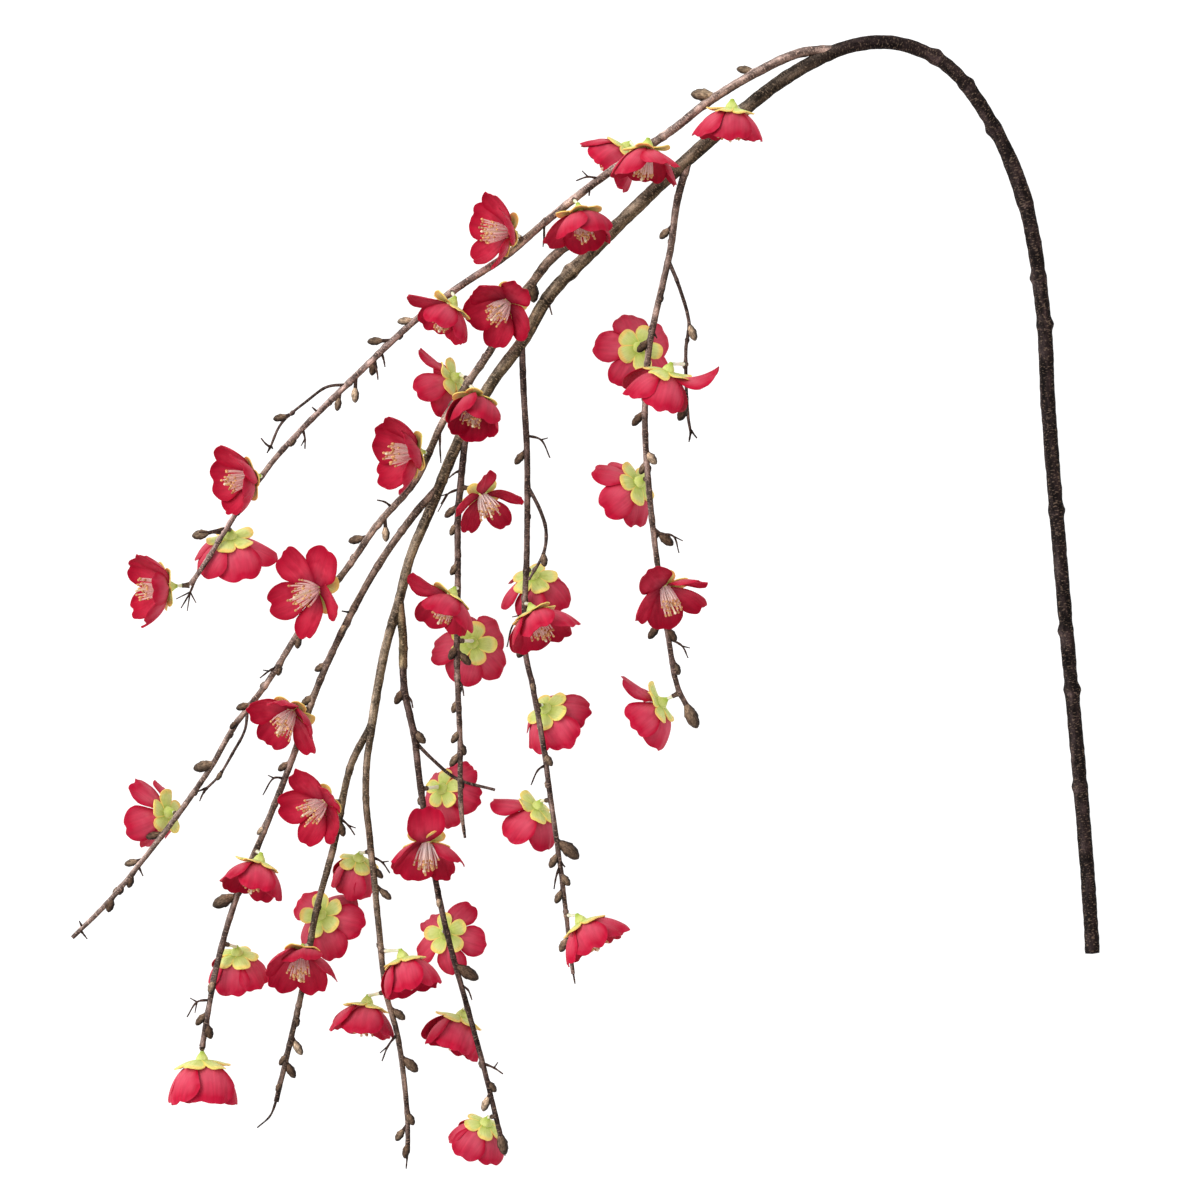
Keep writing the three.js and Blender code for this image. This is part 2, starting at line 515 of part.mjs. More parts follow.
// One blossom as a single welded body: pedicel, calyx, five sepals, five petals, ten stamens
function blossomGeometry(spec, seat, seed) {
  const [, , , , , , , cup, size, breadth, leans = []] = spec;
  const draw = makeDraw(seed);
  const points = [];
  const faces = [];
  const sectors = PETAL_COUNT * 2;
  const ring = (height, radius) => {
    const first = points.length;
    for (let index = 0; index < sectors; index += 1) {
      const angle = ((index - 0.5) / sectors) * Math.PI * 2;
      points.push(new THREE.Vector3(Math.cos(angle) * radius, Math.sin(angle) * radius, height));
    }
    return Array.from({ length: sectors }, (_, index) => first + index);
  };
  const low = ring(CALYX_TIERS.low, CALYX_RADIUS * 0.92);
  const middle = ring(CALYX_TIERS.middle, CALYX_RADIUS);
  const top = ring(CALYX_TIERS.top, CALYX_RADIUS * 0.94);
  const wrap = (index) => index % sectors;

  for (let leaf = 0; leaf < PETAL_COUNT; leaf += 1) {
    const petalSector = leaf * 2;
    const sepalSector = leaf * 2 + 1;
    const petal = {
      turn: (leaf / PETAL_COUNT) * Math.PI * 2,
      rootRadius: CALYX_RADIUS,
      rootHeight: (CALYX_TIERS.middle + CALYX_TIERS.top) / 2,
      startAngle: THREE.MathUtils.degToRad(
        PETAL_START.open - PETAL_START.closing * cup - PETAL_START.narrowing * Math.max(cup - 1, 0),
      ),
      endAngle: THREE.MathUtils.degToRad(
        PETAL_END.open - PETAL_END.closing * cup + (draw() - 0.5) * PETAL_END.spread + (leans[leaf] ?? 0),
      ),
      length: PETAL_LENGTH * size * (0.97 + draw() * 0.06),
      width: PETAL_WIDTH * size * breadth,
      spoonRadius: BLADE_SPOON_RADIUS,
      twist: (draw() - 0.5) * 0.16,
    };
    const sepal = {
      turn: ((leaf + 0.5) / PETAL_COUNT) * Math.PI * 2,
      rootRadius: CALYX_RADIUS,
      rootHeight: (CALYX_TIERS.low + CALYX_TIERS.middle) / 2,
      startAngle: THREE.MathUtils.degToRad(SEPAL_START),
      endAngle: THREE.MathUtils.degToRad(SEPAL_END.open + (draw() - 0.5) * SEPAL_END.spread),
      length: SEPAL_LENGTH * size,
      width: SEPAL_WIDTH * size,
      spoonRadius: BLADE_SPOON_RADIUS,
      twist: (draw() - 0.5) * 0.1,
    };
    const at = (loop, sector) => [loop[wrap(sector)], loop[wrap(sector + 1)]];
    addBlade(points, faces, petal, PETAL_OUTLINE, at(middle, petalSector), at(top, petalSector));
    addBlade(points, faces, sepal, SEPAL_OUTLINE, at(low, sepalSector), at(middle, sepalSector));
    const band = (lower, upper, sector) => {
      const [a, b] = at(lower, sector);
      const [c, d] = at(upper, sector);
      faces.push([a, b, d], [a, d, c]);
    };
    band(low, middle, petalSector);
    band(middle, top, sepalSector);
  }

  const crown = points.push(new THREE.Vector3(0, 0, CROWN_HEIGHT)) - 1;
  for (let sector = 0; sector < sectors; sector += 1) {
    const angle = (sector / sectors) * Math.PI * 2;
    const reach = CALYX_RADIUS * (1 + draw() * 1.2);
    const height = CALYX_TIERS.top + STAMEN_HEIGHT * size * (0.8 + draw() * 0.25);
    const tip = points.push(new THREE.Vector3(Math.cos(angle) * reach, Math.sin(angle) * reach, height)) - 1;
    const a = top[sector];
    const b = top[wrap(sector + 1)];
    faces.push([a, b, tip], [b, crown, tip], [crown, a, tip]);
  }

  const inverse = seat.turned.clone().invert();
  const end = seat.pedicelEnd.clone().sub(seat.foot).applyQuaternion(inverse);
  const axis = new THREE.Vector3(0, 0, 1);
  const away = end.clone().negate().normalize();
  const between = away.clone().add(axis).normalize();
  const pedicelRing = (centre, direction) => {
    const turn = new THREE.Quaternion().setFromUnitVectors(axis, direction);
    const first = points.length;
    for (let index = 0; index < PETAL_COUNT; index += 1) {
      const angle = ((index * 2 + 0.5) / sectors) * Math.PI * 2 - Math.PI / sectors;
      const point = new THREE.Vector3(Math.cos(angle), Math.sin(angle), 0).multiplyScalar(PEDICEL_RADIUS);
      points.push(point.applyQuaternion(turn).add(centre));
    }
    return Array.from({ length: PETAL_COUNT }, (_, index) => first + index);
  };
  const neck = pedicelRing(new THREE.Vector3(), between);
  const root = pedicelRing(end, away);
  for (let index = 0; index < PETAL_COUNT; index += 1) {
    const next = (index + 1) % PETAL_COUNT;
    const left = low[index * 2];
    const mid = low[index * 2 + 1];
    const right = low[wrap(index * 2 + 2)];
    faces.push([neck[index], mid, left], [neck[index], neck[next], mid], [neck[next], right, mid]);
    faces.push([root[index], root[next], neck[next]], [root[index], neck[next], neck[index]]);
  }
  faces.push([root[0], root[4], root[3]], [root[0], root[3], root[2]], [root[0], root[2], root[1]]);
  return geometryOf(points, faces);
}

function geometryOf(points, faces) {
  const geometry = new THREE.BufferGeometry();
  const coordinates = points.flatMap((point) => [point.x, point.y, point.z]);
  geometry.setAttribute('position', new THREE.Float32BufferAttribute(coordinates, 3));
  geometry.setIndex(faces.flat());
  geometry.computeVertexNormals();
  return geometry;
}

// The wood with its buds, bare twiglets and the short spurs that carry the blossoms, as one body
function branchGeometry(seats) {
  const draw = makeDraw(11);
  const pieces = Object.keys(SHOOTS).map(shootSolid);
  Object.entries(BUDS).forEach(([name, buds]) => {
    buds.forEach(([px, py, length]) => pieces.push(budSolid(name, px, py, length, draw)));
  });
  Object.entries(TWIGLETS).forEach(([name, routes]) => {
    routes.forEach((route) => pieces.push(twigletSolid(name, route)));
  });
  seats.forEach((seat) => pieces.push(spurSolid(seat)));
  const joined = pieces.reduce((whole, piece) => whole.add(piece));
  const mesh = joined.getMesh();
  const geometry = new THREE.BufferGeometry();
  geometry.setAttribute('position', new THREE.BufferAttribute(new Float32Array(mesh.vertProperties), 3));
  geometry.setIndex(new THREE.BufferAttribute(new Uint32Array(mesh.triVerts), 1));
  geometry.computeVertexNormals();
  return geometry;
}

const barkMaterial = new THREE.MeshStandardMaterial({ color: 0x4a3a32, roughness: 0.75, metalness: 0 });

function petalMaterial() {
  return new THREE.MeshStandardMaterial({ color: 0xc3123a, roughness: 0.7, metalness: 0 });
}

const group = new THREE.Group();
const seats = BLOSSOMS.map(seatOf);

const branch = new THREE.Mesh(branchGeometry(seats), barkMaterial);
branch.name = 'branch';
group.add(branch);

BLOSSOMS.forEach((spec, index) => {
  const seat = seats[index];
  const blossom = new THREE.Mesh(blossomGeometry(spec, seat, index + 1), petalMaterial());
  blossom.name = `bloom_${String(index + 1).padStart(2, '0')}`;
  blossom.position.copy(seat.foot);
  blossom.quaternion.copy(seat.turned);
  group.add(blossom);
});

export default group;
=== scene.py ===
"""Weeping plum blossom branch, lying on a pale surface and seen from straight above.

One woody branch with its buds and twiglets, and forty-three blossoms, each made of petals, a
calyx, stamens and a stalk. Sizes and places are in millimetres and turn into metres as each
mesh is built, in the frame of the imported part.
"""

import math

import bpy
import numpy as np
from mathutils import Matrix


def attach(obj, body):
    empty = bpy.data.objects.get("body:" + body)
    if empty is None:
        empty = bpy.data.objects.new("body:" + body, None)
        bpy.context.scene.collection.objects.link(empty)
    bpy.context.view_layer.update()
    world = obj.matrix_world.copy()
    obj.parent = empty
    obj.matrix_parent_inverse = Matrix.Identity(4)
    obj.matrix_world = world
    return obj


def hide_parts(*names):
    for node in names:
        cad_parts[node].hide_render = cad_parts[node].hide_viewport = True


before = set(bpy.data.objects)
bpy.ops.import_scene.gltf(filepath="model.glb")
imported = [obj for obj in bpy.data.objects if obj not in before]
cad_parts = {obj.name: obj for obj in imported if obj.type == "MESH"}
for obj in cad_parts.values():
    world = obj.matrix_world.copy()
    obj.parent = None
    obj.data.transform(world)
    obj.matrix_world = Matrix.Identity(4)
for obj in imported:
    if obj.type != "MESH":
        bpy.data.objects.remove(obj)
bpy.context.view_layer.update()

MM = 0.001

# The picture: its scale, the place in it that is the middle of the frame, and its width
MM_PER_PX = 0.45
CENTRE_PX = (586.1, 604.3)
PICTURE_PX = 1200
WOOD_HEIGHT = 33.0
LENS_MM = 400.0
SENSOR_MM = 36.0

# The stage: the floor in metres, and the light, its breadth and turns in degrees
FLOOR_SIDE_M = 6.0
FLOOR_GAP_M = 0.0004
FLOOR_GLOW = 0.94
SKY_STRENGTH = 0.84
LAMP_STRENGTH = 1.75
LAMP_BREADTH = 40
LAMP_TURNS = (-24, -46, 0)

# Lowest height of any point, and the height under which a blossom begins to flatten out
FLOOR_CLEARANCE = 0.1
FLOOR_NEAR = 1

# A blossom's peg on the wood and its stalk
SEAT_GAP = 0.3
SPUR_LENGTH = 2.6
SHORTEST_PEDICEL = 0.6
PEDICEL_RADIUS = 0.8
# The peg from the wood out: share of its length, radius
SPUR_PROFILE = [(0, 1.5), (0.3, 1.25), (0.6, 1.1), (0.82, 1.0), (0.86, 1.15), (1.0, 1.05)]

# Petals and sepals. A root is its distance from the blossom's axis and its height on that axis.
PETAL_COUNT = 5
PETAL_LENGTH = 20.0
PETAL_WIDTH = 18.2
PETAL_THICKNESS = 0.28
PETAL_ROOT = (2.3, 4.5)
PETAL_GRID = (15, 25)
SEPAL_LENGTH = 9.4
SEPAL_WIDTH = 8.2
SEPAL_THICKNESS = 0.45
SEPAL_ROOT = (1.5, 3.7)
SEPAL_GRID = (9, 11)
# How much of the lean of the petals beside it a sepal takes on, and its greatest lean in degrees
SEPAL_FOLLOWS = 0.8
SEPAL_LEAN_MAX = 40
# The cup under the sepals: height on the blossom's axis, radius
RECEPTACLE_PROFILE = [
    (-0.5, 0.85), (0.1, 1.0), (0.8, 1.45), (1.7, 2.15), (2.6, 2.62), (3.4, 2.8), (4.2, 2.7),
    (4.9, 2.1), (5.2, 1.2),
]
RECEPTACLE_SIDES = 30

FILAMENT_COUNT = 30
FILAMENT_LENGTH = 12.6
FILAMENT_RADIUS = 0.37
FILAMENT_FOOT = 4.7
# A filament: share of its length, radius against the plain one, with the anther at its end
FILAMENT_PROFILE = [
    (0, 1.3), (0.12, 1.15), (0.26, 1.05), (0.42, 1), (0.58, 0.95), (0.74, 0.9), (0.86, 0.85),
    (0.9, 0.9), (0.925, 1.3), (0.955, 1.5), (0.985, 1.25), (1.0, 0.7),
]
ANTHER_BEGINS = 0.91
# How far the inner and the outer whorl lean out in an open blossom, in degrees
WHORL_SPREADS = (14, 30)

# Woody shoots. A row is picture x, picture y, height, diameter; a shoot that grows from another
# starts on that one's centre line.
SHOOTS = {
    "stem": [
        (1095, 955, 3.06, 6.6), (1091, 890, 3.06, 6.6), (1083, 790, 3.6, 6.6), (1066, 600, 4.2, 6.5),
        (1050, 400, 4.8, 6.8), (1046, 320, 5.2, 6.8), (1028, 205, 6.5, 6.8), (997, 128, 8.5, 6.6),
        (950, 65, 11.5, 6.3), (900, 42, 14, 6.4), (850, 45, 17, 6.3), (783, 79, 21, 6.2),
        (706, 143, 26, 6.2), (655, 189, 29, 6.2), (589, 254, 31, 6.2), (549, 296, 32, 5.9),
        (522, 342, 33, 5.6), (493, 381, 33, 5.3), (456, 447, 33, 5.1), (433, 503, 33, 4.8),
        (410, 558, 33, 4.4), (399, 601, 33, 4.4), (387, 642, 33, 4.1), (378, 686, 33, 4),
        (372, 724, 33, 4),
    ],
    "left": [
        (838, 47, 0, 4.6), (800, 52, 21, 4.4), (744, 79, 26, 4.1), (701, 107, 30, 3.9),
        (675, 128, 32, 3.8), (604, 176, 34, 3.6), (543, 224, 34, 3.4), (507, 255, 33, 3.4),
        (456, 289, 33, 3.2), (411, 324, 33, 3), (368, 364, 32, 2.9), (329, 402, 32, 2.8),
        (301, 430, 32, 2.6), (273, 461, 31, 2.5), (238, 510, 30, 2.4), (221, 537, 30, 2.4),
        (207, 560, 30, 2.3), (190, 585, 30, 2.2),
    ],
    "leftTwig": [
        (346, 384, 0, 1.5), (327, 387, 34, 1.3), (307, 401, 34, 1.3), (281, 424, 33, 1.2),
        (270, 448, 33, 1.1),
    ],
    "middle": [
        (606, 237, 0, 4.6), (574, 242, 33, 4.5), (551, 259, 34, 4.3), (535, 279, 34, 4.1),
        (512, 309, 33, 3.7), (490, 351, 33, 3.5), (470, 380, 33, 3.4), (443, 422, 33, 3.3),
        (415, 481, 33, 3.2), (378, 524, 33, 3.1), (348, 567, 33, 3), (303, 626, 33, 2.9),
        (267, 683, 33, 2.7), (234, 727, 33, 2.6), (211, 767, 33, 2.5), (179, 813, 32, 2.5),
        (146, 856, 31, 2.4), (110, 900, 30, 2.4), (72, 938, 29, 2),
    ],
    "middleTwig": [
        (249, 710, 0, 1.5), (245, 730, 36, 1.3), (233, 753, 38, 1.3), (219, 776, 38, 1.2),
        (205, 790, 38, 1.1),
    ],
    "second": [
        (438, 486, 0, 3.6), (418, 510, 34, 3.5), (381, 561, 34, 3.3), (349, 618, 34, 3.2),
        (319, 683, 34, 3.1), (290, 765, 34, 3), (262, 836, 34, 2.9), (236, 899, 33, 2.8),
        (217, 965, 32, 2.7), (202, 1047, 31, 2.6),
    ],
    "third": [
        (377, 704, 0, 3.4), (372, 722, 33, 3.4), (351, 765, 33, 3.3), (334, 845, 33, 3.1),
        (316, 912, 33, 2.9), (304, 981, 32, 2.7), (291, 1038, 31, 2.6), (276, 1102, 30, 2.3),
    ],
    "fourth": [
        (378, 700, 0, 3.3), (372, 728, 33.4, 3.3), (367, 761, 34, 3.2), (366, 799, 34, 3.1),
        (370, 840, 34, 3), (374, 878, 34, 2.9), (379, 929, 34, 2.8), (386, 992, 33, 2.6),
        (398, 1038, 32, 2.5), (407, 1112, 31, 2.4), (408, 1150, 30, 2),
    ],
    "fifth": [
        (399, 600, 0, 3.5), (403, 638, 33, 3.4), (404, 686, 33, 3.3), (414, 735, 33, 3.1),
        (421, 791, 33, 2.9), (434, 872, 33, 2.7), (449, 941, 33, 2.6), (463, 992, 32, 2.5),
        (482, 1061, 31, 2.4), (501, 1138, 30, 2.2),
    ],
    "fifthTwig": [(415, 742, 0, 1.8), (432, 759, 31.5, 1.6), (457, 779, 30.5, 1.5), (495, 790, 30, 1.3)],
    "sixth": [
        (470, 428, 0, 3.1), (462, 470, 35, 3.1), (458, 518, 36, 3), (458, 573, 36, 2.8),
        (457, 659, 36, 2.7), (460, 738, 35, 2.5), (461, 807, 34, 2.3), (465, 838, 33, 1.2),
    ],
    "seventh": [
        (522, 343, 0, 3), (524, 398, 34, 2.9), (527, 451, 34, 2.8), (527, 543, 34, 2.7),
        (525, 648, 34, 2.6), (533, 688, 34, 2.5), (543, 744, 33, 2.5), (551, 801, 33, 2.4),
        (561, 872, 32, 2.3), (573, 974, 30, 1.8),
    ],
    "seventhTwig": [
        (529, 486, 0, 1.8), (540, 510, 36, 1.7), (546, 530, 37, 1.6), (544, 552, 38, 1.5),
        (529, 580, 39, 1.1),
    ],
    "eighth": [
        (689, 158, 0, 3.7), (677, 202, 29, 3.3), (671, 247, 29, 3.1), (663, 283, 28, 3),
        (649, 349, 28, 2.9), (645, 423, 29, 2.8), (649, 489, 31, 2.7), (656, 553, 31, 2.6),
        (668, 635, 31, 2.5), (678, 688, 30, 2.4), (691, 712, 29, 2.3),
    ],
    "eighthTwig": [
        (669, 260, 0, 1.9), (679, 286, 30, 1.7), (689, 323, 29, 1.6), (686, 349, 28, 1.6),
        (688, 415, 27, 1.5), (691, 433, 27, 1.2),
    ],
}
GROWS_FROM = {
    "left": "stem", "leftTwig": "left", "middle": "stem", "middleTwig": "middle", "second": "stem",
    "third": "stem", "fourth": "stem", "fifth": "stem", "fifthTwig": "fifth", "sixth": "stem",
    "seventh": "stem", "seventhTwig": "seventh", "eighth": "stem", "eighthTwig": "eighth",
}
# Ring joints on the stem, in picture pixels, and the place where its outer sheath begins
STEM_KNOTS = [
    (1083, 788), (1077, 690), (1068, 630), (1057, 510), (1053, 323), (1047, 275), (998, 125),
    (967, 84), (935, 57), (568, 269),
]
SHEATH_EDGE = (1028, 204)
# Shoots that leave the stem inside a sleeve of its bark, and where the sleeve ends
SHEATHED = {"fifth": (402, 668)}

# Blossoms. Each has its shoot, the foot of its calyx (picture x, picture y, height), the way it
# faces (turn in the picture plane from the right, tilt up from that plane, roll about its own
# axis, in degrees), how closed its cup is (0 open, 1 a bell, above 1 a narrow bell), its size and
# its petals' breadth against the plain ones, and how far each petal leans out, in degrees.
BLOSSOMS = [
    ("stem", 732, 101, 46.2, -95, -1, 14, 0.85, 1.04, 1, (0, 0, 15, 0, 0)),
    ("left", 631, 141, 16.8, 224, 0, 36, 0.8, 1, 1),
    ("left", 648, 140, 48, -98, 4, 60, 0.85, 1.05, 1, (48, 0, 0, 0, 0)),
    ("left", 578, 205, 48, -78, 20, 54, 0.85, 1, 1, (-12, 0, 35, 0, -12)),
    ("left", 516, 233, 39, 178, 32, 30, 0.5, 1, 0.95),
    ("left", 455.5, 298, 48.6, -116, 8, 30, 0.85, 0.93, 0.92, (0, 0, 60, 0, 0)),
    ("middle", 511, 299, 42.4, 228, 45, 15, 0.5, 1, 0.93, (0, 42, -14, -10, 0)),
    ("middle", 460, 374, 25.5, 215, -25, 36, 0.7, 0.95, 0.9, (0, 0, 50, 0, 0)),
    ("middle", 477, 391, 43.5, -98, 32, 60, 1.03, 1.04, 0.95),
    ("middle", 424, 452, 39, 185, 28, 25, 0.6, 1.08, 0.92),
    ("left", 260, 476, 40, 192, 28, 45, 0.65, 1, 1),
    ("left", 230, 530, 25.5, -88, -27, 0, 0.6, 1.08, 1, (20, 0, 0, 0, 0)),
    ("left", 176, 586, 31, 185, 20, 15, 0.65, 1.08, 0.81),
    ("middle", 323, 587, 38, 200, 48, 55, 0.2, 1.14, 0.84, (0, 32, 25, 0, 0)),
    ("eighth", 641, 345, 22, 225, -70, 0, 0.15, 1, 0.86),
    ("eighthTwig", 671, 364, 49, -112, -8, 6, 0.85, 1.15, 1, (150, 0, 0, 0, 0)),
    ("eighth", 644, 479, 26, 212, -36, 8, 0.5, 1.02, 0.95),
    ("eighth", 662, 580, 39.5, -70, 30, 30, 0.6, 1, 0.92, (22, 72, 0, 0, 12)),
    ("eighth", 667, 699, 28, 215, -20, 14, 0.6, 1, 1, (0, 0, 45, 0, 0)),
    ("sixth", 480, 489, 38, -68, 34, 72, 0.35, 0.88, 0.7, (50, 0, 0, 0, 0)),
    ("sixth", 455, 588, 50, 246, 15, 30, 0.8, 0.99, 1, (0, 0, 95, 0, 0)),
    ("sixth", 473, 641, 29, -110, -72, 15, 0.4, 1, 0.95),
    ("seventh", 532, 570, 26.5, -80, -38, 36, 0.7, 1, 0.95),
    ("seventh", 530, 604, 48.6, -68, 16, 18, 0.72, 1.06, 1),
    ("seventh", 542, 705, 27, -50, -40, 25, 0.6, 1, 0.95),
    ("second", 296, 706, 41, 238, 40, 45, 0.5, 1, 0.86, (0, 0, 0, 0, 25)),
    ("third", 329, 800, 38, 215, 45, 20, 0.4, 1, 0.85, (0, 0, 25, 0, 0)),
    ("middle", 173, 812, 26.5, 190, -40, 6, 0.5, 1, 0.84, (-25, 0, 25, 0, -10)),
    ("second", 262, 853, 48.2, -104, 8, 10, 0.95, 1.02, 1, (0, 12, 26, 0, 0)),
    ("fourth", 360, 853, 25.5, -105, -28, 30, 1.1, 0.92, 1),
    ("third", 317, 912, 27, -45, -50, 50, 0.5, 1, 0.92, (0, 0, 0, 45, 0)),
    ("third", 303, 945, 41, -95, 33, 15, 0.65, 1.03, 0.95),
    ("second", 236, 947, 25, -88, -28, 36, 0.9, 0.98, 1),
    ("second", 202, 1052, 30, -90, 0, 5, 0.95, 1.28, 1.08),
    ("fourth", 368, 996, 23.5, 260, 4, 20, 0.8, 1.04, 1),
    ("fourth", 401, 949, 48.9, -74, 6, 25, 0.95, 1.02, 1),
    ("fifth", 443, 932, 27, -45, -66, 55, 0.3, 0.92, 0.86),
    ("fifth", 464, 1010, 18.2, 250, 2, 12, 0.95, 1.1, 1),
    ("fifth", 488, 1118, 24.9, 246, -28, 36, 0.9, 0.93, 1),
    ("seventh", 577, 914, 47.5, -60, 4, 20, 0.8, 1.04, 1),
    ("fifth", 427, 834, 44.8, -90, 25, 18, 0.65, 1.02, 0.95, (0, 135, 0, 0, 0)),
    ("fifth", 438, 787, 25.5, -30, -55, 8, 0.45, 0.86, 0.92),
    ("seventh", 541, 801, 27, 240, -25, 33, 0.8, 1, 0.95, (0, 0, 40, 0, 0)),
]

# Buds by shoot: picture x, picture y, length, and how pale its scales are from 0 to 1
BUDS = {
    "left": [
        (701, 94, 7.5, 0.65), (744, 69, 5.5, 0.4), (404, 321, 5, 0.8), (374, 341, 5, 0.3),
        (373, 369, 5, 0.1), (355, 396, 5, 0.8), (338, 405, 4.5, 0.4), (293, 441, 5, 0.3),
        (199, 535, 5.5, 0.4),
    ],
    "leftTwig": [(279, 418, 4.5, 0.3)],
    "middle": [
        (533, 294, 6.5, 0.2), (355, 540, 5, 0.3), (386, 535, 5, 0.8), (298, 642, 5, 0.3),
        (279, 670, 4.5, 0.3), (242, 707, 4.5, 0.3), (234, 725, 4.5, 0.2), (202, 767, 6.5, 0.4),
        (152, 836, 5, 0.1), (130, 863, 4.5, 0.4), (130, 882, 5, 0.1), (117, 890, 4.5, 0.3),
        (110, 906, 5, 0.1),
    ],
    "middleTwig": [(220, 775, 4.5, 0.3)],
    "second": [
        (344, 628, 5, 0.9), (320, 668, 4.5, 0.3), (307, 701, 5, 0.3), (283, 767, 4.5, 0.3),
        (262, 830, 5, 0.8), (222, 902, 7.5, 0.3), (212, 986, 6.5, 0.5), (200, 1020, 5, 0.2),
        (209, 1032, 5.5, 0.1),
    ],
    "third": [
        (342, 830, 5, 0.3), (297, 1021, 4.5, 0.2), (298, 1049, 5.5, 0.9), (283, 1060, 5, 0.2),
        (291, 1072, 5.5, 0.1), (279, 1087, 4.5, 0.2),
    ],
    "fourth": [
        (386, 895, 5, 0.3), (379, 874, 4.5, 0.3), (400, 1015, 5, 0.3), (412, 1066, 6, 0.2),
        (411, 1120, 4.5, 0.2), (399, 1136, 4.5, 0.3), (406, 1151, 6, 0.1),
    ],
    "fifth": [
        (399, 698, 5.5, 0.1), (420, 738, 5.5, 0.3), (439, 902, 4.5, 0.8), (469, 974, 8, 0.1),
        (492, 1087, 5, 0.2), (485, 1105, 5, 0.8), (503, 1146, 7, 0.2),
    ],
    "sixth": [
        (450, 513, 5, 0.3), (453, 530, 4.5, 0.4), (454, 570, 4.5, 0.3), (453, 654, 5, 0.1),
        (466, 660, 5, 0.1), (455, 707, 5, 0.3), (455, 738, 4.5, 0.3), (463, 750, 4.5, 0.2),
        (454, 761, 5, 0.3),
    ],
    "seventh": [
        (519, 459, 5, 0.2), (521, 651, 5.5, 0.1), (533, 686, 4.5, 0.4), (548, 760, 5.5, 0.3),
        (571, 851, 8, 0.2), (553, 862, 5, 0.3), (566, 881, 4.5, 0.3), (558, 898, 4.5, 0.3),
        (563, 946, 5, 0.4),
    ],
    "seventhTwig": [(544, 561, 4.5, 0.3)],
    "eighth": [
        (664, 234, 4.5, 0.4), (642, 347, 5, 0.1), (637, 420, 5.5, 0.1), (652, 459, 5, 0.8),
        (643, 469, 4.5, 0.3), (667, 540, 6, 0.1), (653, 633, 5.5, 0.1), (672, 635, 5.5, 0.1),
        (676, 668, 6, 0.4), (692, 718, 8.5, 0.3),
    ],
    "eighthTwig": [(693, 333, 6, 0.7), (682, 414, 5.5, 0.1)],
}
# How much longer than in the table the buds are made
BUD_STRETCH = 1.15
# Small buds on the far side of the wood: where on a shoot the first stands, how far apart they are
FAR_BUD_FIRST = 18.0
FAR_BUD_SPACING = 26.0

